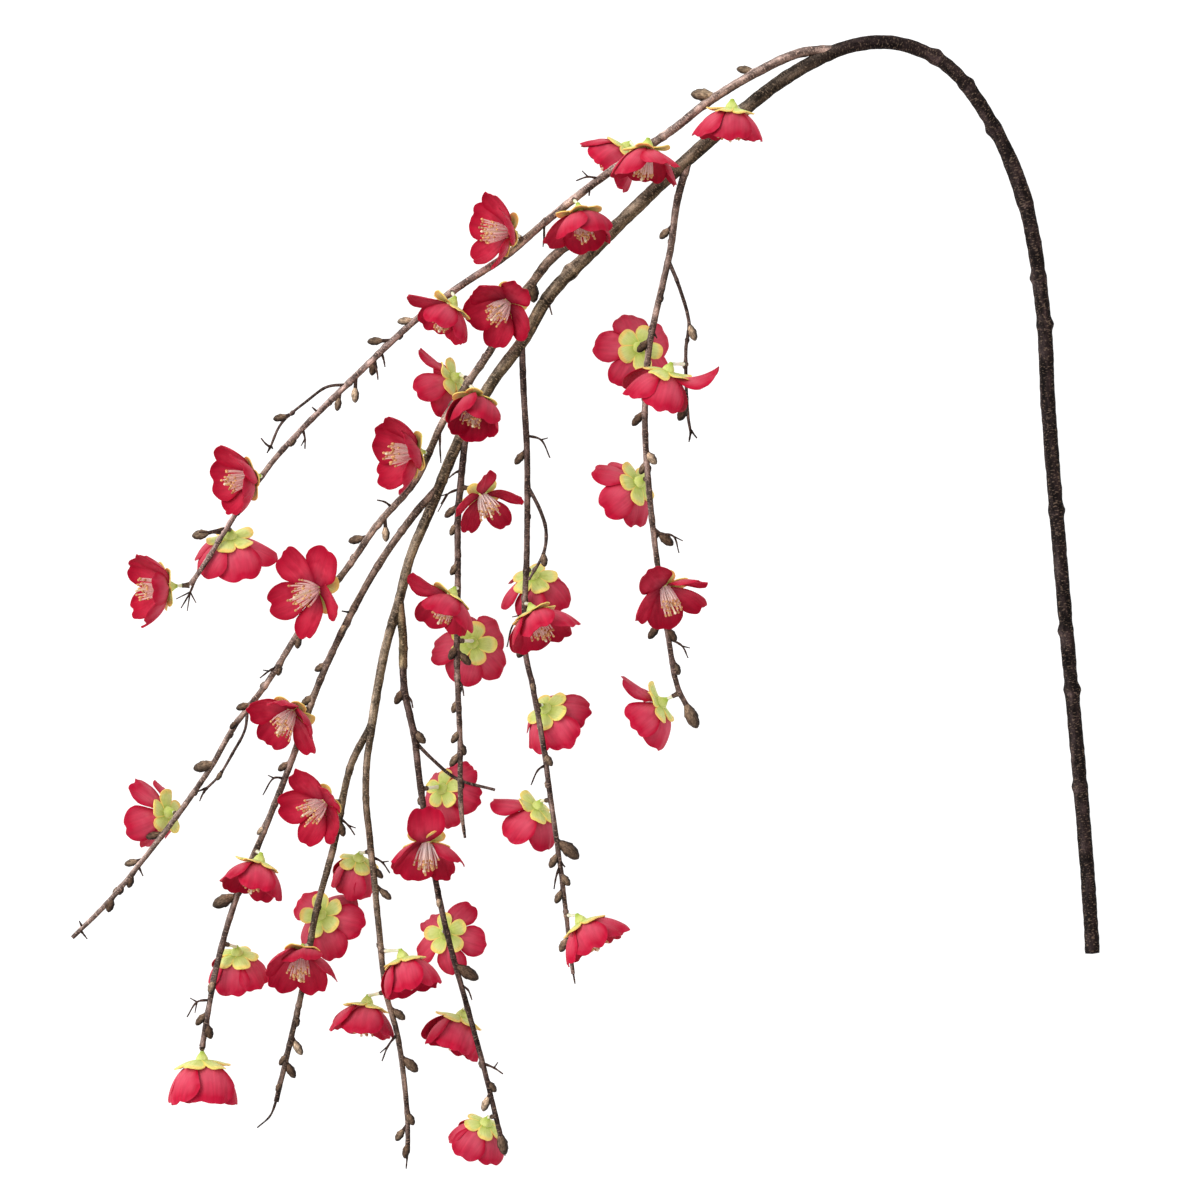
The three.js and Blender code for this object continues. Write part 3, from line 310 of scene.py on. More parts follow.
# Bare twiglets and spines by shoot: the way each goes (picture x, picture y, rise from its root),
# and its side prongs (which of its points they leave, picture x, picture y)
TWIGLETS = {
    "left": [
        ([(599, 177, 0), (588, 177, 2), (576, 181, 3)], [(1, 582, 171)]),
        ([(545, 225, 0), (544, 237, 2), (543, 247, 3)], [(1, 549, 245)]),
        ([(592, 188, 0), (589, 196, 2)], []),
        ([(435, 305, 0), (420, 298, 2), (409, 296, 3)], [(1, 412, 302)]),
        ([(382, 352, 0), (384, 361, 2), (385, 367, 3)], []),
        ([(373, 360, 0), (377, 372, 2), (378, 380, 2)], []),
        ([(318, 412, 0), (312, 407, 2)], []),
        ([(303, 429, 0), (305, 439, 2), (305, 449, 3)], [(1, 301, 446)]),
        ([(222, 533, 0), (210, 532, 1), (199, 532, 2)], []),
        ([(197, 575, 0), (190, 592, 0), (181, 608, 2)], [(1, 196, 603), (1, 176, 599), (1, 187, 611)]),
    ],
    "leftTwig": [
        ([(270, 447, 0), (266, 444, 0), (261, 438, 1)], []),
        ([(270, 446, 0), (267, 453, 0)], []),
        ([(270, 446, 0), (273, 449, 1)], []),
    ],
    "middle": [
        ([(442, 428, 0), (440, 446, 3), (441, 463, 5)], []),
        ([(392, 507, 0), (385, 502, 2), (377, 500, 3)], []),
        ([(279, 667, 0), (269, 671, 2), (260, 678, 3)], [(1, 263, 670)]),
        ([(138, 866, 0), (143, 876, 2)], []),
        ([(80, 930, 0), (83, 934, 1), (87, 939, 2)], []),
        ([(82, 928, 0), (79, 921, 1)], []),
    ],
    "middleTwig": [
        ([(207, 787, 0), (203, 794, 1), (200, 801, 1)], []),
        ([(207, 787, 0), (196, 792, 0)], []),
    ],
    "second": [
        ([(351, 612, 0), (342, 611, 2)], []),
        ([(285, 778, 0), (274, 778, 2), (263, 795, 3)], [(1, 268, 775)]),
        ([(208, 1000, 0), (197, 1002, 1), (187, 1017, 2)], [(1, 190, 998), (1, 195, 1013)]),
    ],
    "third": [
        ([(340, 818, 0), (348, 825, 2), (355, 835, 3)], [(1, 356, 828)]),
        ([(277, 1098, 0), (270, 1116, 0), (257, 1128, -1)], []),
    ],
    "fourth": [
        ([(373, 857, 0), (382, 862, 2), (390, 873, 3)], [(1, 389, 861)]),
        ([(396, 1034, 0), (388, 1046, 2), (382, 1061, 3)], [(1, 380, 1053)]),
        ([(408, 1146, 0), (407, 1158, 0), (406, 1169, 0)], []),
    ],
    "fifth": [
        ([(407, 693, 0), (411, 700, 2), (413, 708, 3)], []),
        ([(462, 985, 0), (468, 990, 1), (472, 1000, 2)], []),
        ([(483, 1063, 0), (494, 1068, 1), (503, 1074, 2)], [(1, 498, 1062)]),
        ([(500, 1140, 0), (505, 1156, 0)], []),
    ],
    "sixth": [
        ([(461, 470, 0), (455, 473, 1), (449, 478, 2)], []),
        ([(458, 488, 0), (448, 494, 2), (441, 504, 3)], [(1, 438, 512), (1, 441, 496)]),
        ([(458, 678, 0), (462, 686, 1), (464, 696, 2)], []),
    ],
    "seventh": [
        ([(526, 436, 0), (541, 440, 2), (550, 458, 3)], [(1, 548, 438)]),
        ([(525, 615, 0), (513, 625, 2), (507, 647, 4)], [(0, 512, 617)]),
        ([(546, 765, 0), (538, 770, 2), (531, 785, 4)], []),
        ([(560, 865, 0), (556, 877, 2), (554, 889, 4)], []),
        ([(560, 860, 0), (565, 867, 2)], []),
        ([(572, 970, 0), (575, 984, 0)], []),
    ],
    "eighth": [
        ([(654, 535, 0), (673, 536, 2), (679, 553, 3)], [(1, 683, 541)]),
        ([(670, 638, 0), (682, 646, 2), (688, 658, 4)], [(1, 690, 648)]),
        ([(650, 330, 0), (657, 338, 2)], []),
    ],
    "eighthTwig": [([(690, 430, 0), (697, 438, 1)], []), ([(691, 432, 0), (689, 442, 0)], [])],
    "stem": [([(549, 300, 0), (552, 315, 3)], []), ([(433, 508, 0), (427, 519, 3)], [])],
}

# Bark colours (screen red, green, blue) where each shoot begins and ends
BARK_TONES = {
    "stem": ((30, 20, 19), (100, 83, 62)), "left": ((124, 98, 87), (124, 97, 88)),
    "middle": ((112, 90, 74), (114, 90, 80)), "second": ((104, 82, 68), (84, 64, 57)),
    "third": ((104, 86, 64), (66, 49, 42)), "fourth": ((104, 86, 64), (82, 61, 53)),
    "fifth": ((66, 48, 42), (62, 44, 38)), "sixth": ((76, 56, 50), (92, 70, 60)),
    "seventh": ((70, 52, 46), (88, 66, 58)), "eighth": ((106, 83, 72), (88, 66, 58)),
}
TWIG_TONE = (74, 55, 49)
SPUR_TONE = (106, 86, 74)
# Shares of the stem's length between which its dark bark turns olive
STEM_TURNS_OLIVE = (0.54, 0.72)
# Painted light and shade: the wood is paler and greyer on the side that this way points to, toward the
# lamp, and darker on the other
PAINTED_LIGHT_SIDE = np.array([-0.76, 0.38, 0.53])
PAINTED_LIGHT_SHARE = 0.82
PAINTED_LIGHT_CONTRAST = 1.35
PAINTED_HIGHLIGHT_GREY = 0.4
# Painted light and shade on the buds: a painted highlight on the side that this way points to, and
# painted shade elsewhere
BUD_LIT_SIDE = np.array([-0.42, 0.21, 0.88])
BUD_PALE_TONE = (214, 186, 156)
BUD_PLAIN_TONE = (84, 63, 48)
BUD_DARK_AND_SHADE_TONE = (22, 14, 12)
BUD_STALK_TONE = (60, 44, 38)

# Sides of a tube and steps between its rings, in millimetres
STEM_SIDES = 24
SHOOT_SIDES = 14
TWIG_SIDES = 10
STEM_STEP = 1.1
SHOOT_STEP = 1.2
# Ridges that ring the wood: how far apart, how far each may stray, and where a shoot's first is
STEM_RING_SPACING = 15.0
SHOOT_RING_SPACING = 11.0
RING_STRAY = 5.5
SHOOT_FIRST_RING = 6.0
# Unevenness of the bark: height against the radius, how many waves, the longest of them
BARK_RIPPLES = ((0.05, 14, 30.0), (0.045, 10, 8.0))
# Swellings of the wood: height against the radius, and spread along it
SPUR_SWELLING = (0.24, 2.0)
BUD_SWELLING = (0.26, 1.5)
# Heights against the radius, of the stem's knots, its sheath, and the sleeve round a shoot's foot
KNOT_HEIGHTS = (0.26, 0.42)
SHEATH_HEIGHT = 0.13
SLEEVE_HEIGHT = 0.16
# Radius of a twiglet's tip, and how much more its root has, then of a prong's root, and how much
# less its tip has
TWIGLET_TIP = 0.3
TWIGLET_TAPER = 0.4
PRONG_ROOT = 0.42
PRONG_TAPER = 0.2
# A bud's rings and sides, the share of its length where it is widest, how many rows of scales it
# has, and how far each scale stands out, against the bud's radius
BUD_GRID = (17, 14)
BUD_WIDEST = 0.42
BUD_SCALE_ROWS = 3.1
BUD_SCALE_STEP = 0.14


def place(px, py, z=0.0):
    """Point in millimetres of a place in the picture, at a height above the surface."""
    return np.array([(px - CENTRE_PX[0]) * MM_PER_PX, (CENTRE_PX[1] - py) * MM_PER_PX, z])


def linear(colour):
    """Scene colour of a screen colour given as 0 to 255."""
    share = np.asarray(colour, float) / 255
    return np.where(share <= 0.04045, share / 12.92, ((share + 0.055) / 1.055) ** 2.4)


def rgb(*colour):
    """The same as plain numbers, for a material."""
    return tuple(float(part) for part in linear(colour))


def unit(vector):
    """A vector, or each of a row of them, at length 1."""
    vector = np.asarray(vector, float)
    return vector / np.maximum(np.linalg.norm(vector, axis=-1, keepdims=True), 1e-9)


def columns_of(rows):
    """The columns of a table of numbers."""
    return (np.array(column) for column in zip(*rows))


def hump(offset, width):
    """1 where there is no offset, and next to nothing from twice the width on."""
    return np.exp(-((offset / width) ** 2))


def catmull_rom(points, per_span=24):
    """Points along a centripetal Catmull-Rom curve, and how far along the route each one lies."""
    ends = [2 * points[0] - points[1], *points, 2 * points[-1] - points[-2]]
    made, shares = [], []
    for span in range(len(points) - 1):
        p0, p1, p2, p3 = ends[span : span + 4]
        spans = ((p0, p1), (p1, p2), (p2, p3))
        d0, d1, d2 = (max(np.linalg.norm(b - a) ** 0.5, 1e-3) for a, b in spans)
        m1 = ((p1 - p0) / d0 - (p2 - p0) / (d0 + d1) + (p2 - p1) / d1) * d1
        m2 = ((p2 - p1) / d1 - (p3 - p1) / (d1 + d2) + (p3 - p2) / d2) * d1
        last = span == len(points) - 2
        t = np.linspace(0, 1, per_span + last, endpoint=last)[:, None]
        squared = (3 * (p2 - p1) - 2 * m1 - m2) * t**2
        cubed = (2 * (p1 - p2) + m1 + m2) * t**3
        made.append(p1 + m1 * t + squared + cubed)
        shares.append(span + t[:, 0])
    return np.concatenate(made), np.concatenate(shares)


class Trace:
    """Centre line of a shoot at even steps, with the radius at each."""

    def __init__(self, rows, parent, step=0.5):
        points = np.array([place(px, py, z) for px, py, z, _ in rows])
        if parent is not None:
            points[0] = parent.centre[parent.nearest(points[0])]
        fine, share = catmull_rom(points)
        arc = np.concatenate([[0], np.cumsum(np.linalg.norm(np.diff(fine, axis=0), axis=1))])
        self.length = arc[-1]
        self.s = np.linspace(0, self.length, int(self.length / step) + 1)
        self.centre = np.stack([np.interp(self.s, arc, fine[:, k]) for k in range(3)], axis=1)
        along = np.interp(self.s, arc, share)
        diameters = [row[3] for row in rows]
        self.radius = np.interp(along, np.arange(len(rows)), diameters) / 2

    def nearest(self, target):
        """Index of the step that lies nearest to a place, seen from above."""
        return int(np.argmin(np.hypot(*(self.centre[:, :2] - target[:2]).T)))

    def at(self, s):
        """Point at one distance along the shoot, or a row of points at several."""
        return np.stack([np.interp(s, self.s, self.centre[:, k]) for k in range(3)], axis=-1)


def ring_axes(centres):
    """A line's own direction and two axes across it at each point, the second leaning upward."""
    along = unit(np.gradient(centres, axis=0))
    upright = np.where(np.abs(along[:, 2:]) > 0.95, (1.0, 0.0, 0.0), (0.0, 0.0, 1.0))
    across = unit(np.cross(upright, along))
    return along, across, np.cross(along, across)


def corner_angles(sides):
    """Angles of a ring's corners, once round."""
    return np.arange(sides) / sides * 2 * math.pi


def spokes(across, over, angle):
    """Ways out from each point of a line to the corners of the ring round it."""
    return across[:, None] * np.cos(angle)[None, :, None] + over[:, None] * np.sin(angle)[None, :, None]


def upright_rings(angle, girth, heights):
    """Rings of points round the vertical axis."""
    x, y = np.cos(angle)[None] * girth, np.sin(angle)[None] * girth
    return np.stack(np.broadcast_arrays(x, y, heights[:, None]), axis=2).reshape(-1, 3)


class Shape:
    """Points, faces and per-point values of one piece while it is being put together."""

    def __init__(self):
        self.points, self.faces, self.tones, self.grains, self.count = [], [], [], [], 0

    def add(self, points, faces, tones, grains):
        """One closed shell; tones has four values a point and grains three."""
        points = np.asarray(points, float).reshape(-1, 3)
        total = len(points)
        self.points.append(points)
        self.tones.append(np.broadcast_to(np.asarray(tones, float).reshape(-1, 4), (total, 4)))
        self.grains.append(np.broadcast_to(np.asarray(grains, float).reshape(-1, 3), (total, 3)))
        self.faces.extend([tuple(int(i) + self.count for i in face) for face in faces])
        self.count += total

    def build(self, name, material, slot, nodes, sharp=50):
        """Mesh object in metres that rides on the root and stands for the given nodes."""
        mesh = bpy.data.meshes.new(name)
        mesh.from_pydata((np.concatenate(self.points) * MM).tolist(), [], self.faces)
        tone = mesh.attributes.new("tone", "FLOAT_COLOR", "POINT")
        tone.data.foreach_set("color", np.concatenate(self.tones).astype(np.float32).ravel())
        grain = mesh.attributes.new("grain", "FLOAT_VECTOR", "POINT")
        grain.data.foreach_set("vector", np.concatenate(self.grains).astype(np.float32).ravel())
        mesh.shade_smooth()
        mesh.set_sharp_from_angle(angle=math.radians(sharp))
        mesh.materials.append(material)
        piece = bpy.data.objects.new(name, mesh)
        bpy.context.scene.collection.objects.link(piece)
        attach(piece, "root")
        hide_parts(*nodes)


def tube_faces(rings, sides):
    """Faces of a tube of rings, with one more point at each end that closes it."""
    ring, side = np.meshgrid(np.arange(rings - 1), np.arange(sides), indexing="ij")
    a = (ring * sides + side).ravel()
    b = (ring * sides + (side + 1) % sides).ravel()
    faces = np.stack([a, b, b + sides, a + sides], axis=1).tolist()
    first, last = rings * sides, rings * sides + 1
    end = (rings - 1) * sides
    for k in range(sides):
        after = (k + 1) % sides
        faces.append([first, after, k])
        faces.append([last, end + k, end + after])
    return faces


def add_tube(shape, centres, radii, sides, tones, bulge=0.3):
    """Closed tube along a line.

    radii has one value a ring, or one for each corner of a ring. tones has four values for the
    whole tube, for each ring, or for each corner.
    """
    centres = np.asarray(centres, float)
    rings = len(centres)
    along, across, over = ring_axes(centres)
    angle = corner_angles(sides)
    radii = np.broadcast_to(np.asarray(radii, float).reshape(rings, -1), (rings, sides))
    ring_points = centres[:, None] + spokes(across, over, angle) * radii[:, :, None]
    first_end = centres[0] - along[0] * radii[0].mean() * bulge
    last_end = centres[-1] + along[-1] * radii[-1].mean() * bulge
    points = np.concatenate([ring_points.reshape(-1, 3), [first_end, last_end]])
    points[:, 2] = np.maximum(points[:, 2], FLOOR_CLEARANCE)

    s = np.concatenate([[0], np.cumsum(np.linalg.norm(np.diff(centres, axis=0), axis=1))])
    grains = upright_rings(angle, radii.mean(axis=1)[:, None], s)
    grains = np.concatenate([grains, [[0, 0, s[0]], [0, 0, s[-1]]]])
    tones = np.asarray(tones, float)
    if tones.ndim < 3:
        tones = tones.reshape(-1, 1, 4)
    tones = np.broadcast_to(tones, (rings, sides, 4))
    tones = np.concatenate([tones.reshape(-1, 4), tones[0, :1], tones[-1, :1]])
    shape.add(points, tube_faces(rings, sides), tones, grains)


def ripple(rng, s, angle, waves, longest):
    """Smooth unevenness over a tube's surface, between about -1 and 1."""
    total = np.zeros((len(s), len(angle)))
    for _ in range(waves):
        turns = rng.integers(0, 5)
        pitch = longest * rng.uniform(0.15, 1)
        phase, weight = rng.uniform(0, 2 * math.pi, 2)
        wave = np.cos(2 * math.pi * s[:, None] / pitch + turns * angle[None] + phase)
        total += wave * (0.6 + 0.4 * math.cos(weight))
    return total / math.sqrt(waves) / 1.2


traces = {}
for name, rows in SHOOTS.items():
    traces[name] = Trace(rows, traces.get(GROWS_FROM.get(name)))


def seat_of(row):
    """Where a blossom sits: its foot and axes, the wood by it, the way out of it, its peg's end."""
    shoot, px, py, height, turn, tilt, roll = row[:7]
    foot = place(px, py, height)
    azimuth, rise, about = np.radians([turn, tilt, roll])
    level = math.cos(rise)
    facing = np.array([math.cos(azimuth) * level, math.sin(azimuth) * level, math.sin(rise)])
    sideways = unit(np.cross((0, 0, 1), facing))
    upward = np.cross(facing, sideways)
    rolled_x = sideways * math.cos(about) + upward * math.sin(about)
    rolled_y = upward * math.cos(about) - sideways * math.sin(about)
    trace = traces[shoot]
    index = trace.nearest(foot)
    wood, radius = trace.centre[index], trace.radius[index]
    distance = np.linalg.norm(foot - wood)
    outward = (foot - wood) / distance
    reach = min(radius + SPUR_LENGTH, distance - SEAT_GAP - SHORTEST_PEDICEL)
    return {
        "shoot": shoot,
        "at": trace.s[index],
        "foot": foot,
        "axes": np.array([rolled_x, rolled_y, facing]),
        "wood": wood,
        "radius": radius,
        "outward": outward,
        "spur_end": wood + outward * reach,
    }


seats = [seat_of(row) for row in BLOSSOMS]


def painted_light_and_shade(spoke):
    """Painted light and shade: how much paler or darker the wood is, from how its surface faces the
    lamp.
    """
    facing = np.clip(spoke @ PAINTED_LIGHT_SIDE, -1, 1)
    return (1 + PAINTED_LIGHT_SHARE * facing) ** PAINTED_LIGHT_CONTRAST


def bark_tones(name, s, length):
    """Bark colour along a shoot, as four values a step."""
    if name not in BARK_TONES:
        return np.tile([*linear(TWIG_TONE), 1.0], (len(s), 1))
    begin, end = (linear(colour) for colour in BARK_TONES[name])
    share = s / length
    if name == "stem":
        first, last = STEM_TURNS_OLIVE
        share = np.clip((share - first) / (last - first), 0, 1)
    colours = begin * (1 - share[:, None]) + end * share[:, None]
    return np.concatenate([colours, np.ones((len(s), 1))], axis=1)


def tones_with_painted_light(name, s, length, spoke):
    """Bark colour at each corner of a shoot's rings, with painted light toward the lamp and painted
    shade away.
    """
    tones = np.repeat(bark_tones(name, s, length)[:, None], spoke.shape[1], axis=1)
    # Painted light and shade from how each corner faces the lamp, with its painted highlights made
    # greyer
    lit_and_shaded = painted_light_and_shade(spoke)[:, :, None]
    tones[:, :, :3] *= lit_and_shaded
    highlight_greying = PAINTED_HIGHLIGHT_GREY * np.clip(lit_and_shaded - 1, 0, 1)
    tones[:, :, :3] += (tones[:, :, :3].mean(axis=2, keepdims=True) - tones[:, :, :3]) * highlight_greying
    return tones


def add_ring_ridges(name, s, length, rng, relief, tones):
    """Low ridges that ring the wood at uneven steps, each paler, with a dark line after it."""
    thick = name == "stem"
    first = STEM_TURNS_OLIVE[1] * length if thick else SHOOT_FIRST_RING
    places = np.arange(first, length - 4, STEM_RING_SPACING if thick else SHOOT_RING_SPACING)
    for at in places + rng.uniform(-RING_STRAY, RING_STRAY, len(places)):
        ridge = hump(s - at, 0.9)[:, None]
        strength = rng.uniform(0.1, 1) ** 1.5
        relief += 0.18 * strength * ridge * (0.5 if thick else 1)
        furrow = hump(s - at - 1.6, 1.0)[:, None, None]
        tones[:, :, :3] *= 1 + strength * (0.3 * ridge[:, :, None] - 0.7 * furrow)


def add_swellings(name, s, angle, across, over, relief):
    """Swellings of the wood where a blossom's peg or a bud leaves it."""
    trace = traces[name]
    own = [seat for seat in seats if seat["shoot"] == name]
    swellings = [(seat["at"], seat["outward"], SPUR_SWELLING) for seat in own]
    for px, py, length, _ in BUDS.get(name, []):
        index = trace.nearest(place(px, py))
        aside = place(px, py, trace.centre[index][2]) - trace.centre[index]
        swellings.append((trace.s[index] - length * 0.45, unit(aside), BUD_SWELLING))
    for at, direction, (height, spread) in swellings:
        near = int(np.argmin(np.abs(s - at)))
        toward = math.atan2(direction @ over[near], direction @ across[near])
        swelling = hump(s - at, spread)[:, None]
        relief += height * swelling * (0.45 + 0.55 * np.cos(angle[None] - toward))


def add_stem_knots(s, angle, rng, relief, tones):
    """Lopsided ring joints on the stem, and the pale edge where its outer sheath begins."""
    trace = traces["stem"]
    for px, py in STEM_KNOTS:
        at = trace.s[trace.nearest(place(px, py))]
        lopsided = 0.6 + 0.4 * np.cos(angle[None] - rng.uniform(0, 2 * math.pi))
        relief += rng.uniform(*KNOT_HEIGHTS) * lopsided * hump(s - at, 2.0)[:, None]
        relief -= 0.07 * hump(s - at - 4.2, 1.6)[:, None]
        tones[:, :, :3] *= 1 + 1.3 * hump(s - at + 1.6, 0.7)[:, None, None]
    edge = trace.s[trace.nearest(place(*SHEATH_EDGE))]
    stepped = np.clip((s - edge) / 0.9, 0, 1)[:, None]
    fading = np.clip(1 - (s - edge - 8) / 20, 0, 1)[:, None]
    relief += SHEATH_HEIGHT * stepped * fading
    tones[:, :, :3] *= 1 + 1.8 * hump(s - edge, 0.9)[:, None, None]


def add_sleeve(name, s, relief, tones):
    """Sleeve of the stem's bark round the foot of a shoot that leaves it."""
    trace = traces[name]
    edge = trace.s[trace.nearest(place(*SHEATHED[name]))]
    inside = np.clip((edge - s) / 0.8, 0, 1)[:, None]
    relief += SLEEVE_HEIGHT * inside
    stem_share = linear(BARK_TONES["stem"][1]) / tones.mean(axis=(0, 1))[:3]
    tones[:, :, :3] *= 1 + (stem_share - 1) * inside[:, :, None]


def sides_of(name):
    """How many sides the tube of a shoot has."""
    if name == "stem":
        return STEM_SIDES
    return TWIG_SIDES if name.endswith("Twig") else SHOOT_SIDES


def add_shoot(shape, name):
    """One shoot: uneven bark, a swelling at each bud and blossom, and the stem's knots.

    At each corner of each ring of its tube, relief is the radius against the plain one, and
    tones is the colour. The steps change both in place.
    """
    trace = traces[name]
    rng = np.random.default_rng(sum(map(ord, name)))
    thick = name == "stem"
    sides = sides_of(name)
    step = STEM_STEP if thick else SHOOT_STEP
    s = np.linspace(0, trace.length, int(trace.length / step) + 1)
    centres = trace.at(s)
    radius = np.interp(s, trace.s, trace.radius)
    angle = corner_angles(sides)
    _, across, over = ring_axes(centres)
    relief = 1
    for height, waves, longest in BARK_RIPPLES:
        relief = relief + height * ripple(rng, s, angle, waves, longest)
    # Bark colour with painted light on the lamp's side and painted shade on the other
    tones = tones_with_painted_light(name, s, trace.length, spokes(across, over, angle))
    add_ring_ridges(name, s, trace.length, rng, relief, tones)
    add_swellings(name, s, angle, across, over, relief)
    if thick:
        add_stem_knots(s, angle, rng, relief, tones)
    if name in SHEATHED:
        add_sleeve(name, s, relief, tones)
    add_tube(shape, centres, radius[:, None] * relief, sides, tones, bulge=0.1)


def add_spur(shape, seat):
    """Short peg with a collar that holds a blossom's stalk."""
    start = seat["wood"] + seat["outward"] * seat["radius"] * 0.4
    share, radii = columns_of(SPUR_PROFILE)
    centres = start + (seat["spur_end"] - start) * share[:, None]
    add_tube(shape, centres, radii, 10, [*linear(SPUR_TONE), 1.0], bulge=0.15)


def add_twiglet(shape, trace, path, prongs, rng):
    """Thin bare twiglet with side prongs, tapering to points."""
    root = trace.centre[trace.nearest(place(*path[0][:2]))]
    points = [root] + [place(px, py, root[2] + rise) for px, py, rise in path[1:]]
    tone = [*linear(np.array(TWIG_TONE) * rng.uniform(0.7, 1.1)), 1.0]
    line, share = catmull_rom(np.array(points), 7)
    taper = 1 - share / share[-1]
    wobble = 1 + 0.12 * np.sin(share * 9 + rng.uniform(0, 6))
    add_tube(shape, line, (TWIGLET_TIP + TWIGLET_TAPER * taper) * wobble, 7, tone)
    for start, px, py in prongs:
        base = points[start]
        rise = rng.uniform(-1, 2.5)
        tip = place(px, py, base[2] + rise)
        middle = (base + tip) / 2 + (0, 0, rise * 0.3)
        prong, along = catmull_rom(np.array([base, middle, tip]), 5)
        add_tube(shape, prong, PRONG_ROOT - PRONG_TAPER * along / along[-1], 6, tone)


def add_bud(shape, foot, direction, length, pale, rng):
    """Pointed bud with three rows of overlapping scales, each darker at its root, with painted light and
    shade.
    """
    rings, sides = BUD_GRID
    t = np.linspace(0, 1, rings) ** 0.9
    angle = corner_angles(sides)
    girth = length * rng.uniform(0.25, 0.3)
    widening = 0.34 + 0.66 * np.clip(t / BUD_WIDEST, 0, 1) ** 0.8
    narrowing = np.sqrt(np.clip(1 - np.clip((t - BUD_WIDEST) / 0.6, 0, 1) ** 2.1, 0.0, 1))
    spiral = rng.uniform(0, 2 * math.pi)
    row = BUD_SCALE_ROWS * t[:, None] + 0.28 * np.cos(3 * angle[None] + spiral) + 0.3
    within = row - np.floor(row)
    thickest = np.clip(4 * t * (1.1 - t), 0, 1)[:, None]
    scale = 1 + BUD_SCALE_STEP * (within - 0.5) * thickest
    centres = foot + direction * (t * length)[:, None]
    bend = unit(np.cross(direction, rng.normal(size=3)))
    centres = centres + bend * (0.05 * length * t**2)[:, None]

    _, across, over = ring_axes(centres)
    spoke = spokes(across, over, angle)
    pale_tone = linear(BUD_PALE_TONE) * pale**1.5 + linear(BUD_PLAIN_TONE) * (1 - pale**1.5)
    # Painted highlight where a scale faces the lit side, and painted shade, near the dark tone, round
    # the rest of its outline
    lit = np.clip((spoke @ BUD_LIT_SIDE - 0.3) / 0.6, 0, 1)[:, :, None]
    paleness = np.clip(1.25 - t, 0.25, 1)[:, None, None] * (0.55 + 0.45 * within[:, :, None])
    paleness = paleness * (0.06 + 1.2 * lit)
    colours = pale_tone * paleness + linear(BUD_DARK_AND_SHADE_TONE) * (1 - paleness)
    # Painted light and shade by how the surface faces the lamp, as on the wood
    colours = colours * painted_light_and_shade(spoke)[:, :, None] ** 0.5
    heights = np.broadcast_to(t[:, None, None], (rings, sides, 1))
    tones = np.concatenate([colours, heights], axis=2)
    radii = girth * (widening * narrowing)[:, None] * scale
    add_tube(shape, centres, radii, sides, tones, bulge=0.5)


def add_seen_bud(shape, trace, bud, rng):
    """One bud that the picture shows, on its short stalk."""
    px, py, length, pale = bud
    centre = place(px, py)
    beside = trace.nearest(centre)
    aside = np.linalg.norm(centre[:2] - trace.centre[beside][:2])
    foot = trace.at(max(trace.s[beside] - 2 - 0.75 * aside, 0))
    centre[2] = trace.centre[beside][2] + rng.uniform(-1.2, 1.2)
    direction = unit(centre - foot)
    length *= BUD_STRETCH
    tip = centre + direction * length / 2
    start = tip - direction * min(np.linalg.norm(tip - foot), length * 1.2)
    stalk = [foot, (foot + start) / 2, start + direction]
    add_tube(shape, stalk, [1.0, 0.85, 0.9], 8, [*linear(BUD_STALK_TONE), 0.4])
    add_bud(shape, start, direction, np.linalg.norm(tip - start), pale, rng)


def add_far_bud(shape, trace, s, rng):
    """One small bud on the far side of the wood."""
    index = min(int(np.searchsorted(trace.s, s)), len(trace.s) - 2)
    along = unit(trace.centre[index + 1] - trace.centre[index - 1])
    beside = unit(np.cross(along, (0, 0, 1)))
    outward = unit(beside * rng.uniform(-0.5, 0.5) - np.array((0, 0, 1)))
    foot = trace.centre[index] + outward * trace.radius[index] * 0.5
    length, pale = rng.uniform(3.6, 5.2), rng.uniform(0, 0.6)
    add_bud(shape, foot, unit(along + outward * 0.7), length, pale, rng)


def add_buds(shape):
    """The buds that the picture shows, and smaller ones on the far side of the wood."""
    rng = np.random.default_rng(11)
    for name, buds in BUDS.items():
        for bud in buds:
            add_seen_bud(shape, traces[name], bud, rng)
    for name in BUDS:
        count = int((traces[name].length - FAR_BUD_FIRST) / FAR_BUD_SPACING)
        for k in range(count):
            s = FAR_BUD_FIRST + FAR_BUD_SPACING * (k + rng.uniform(0.1, 0.9))
            add_far_bud(shape, traces[name], s, rng)


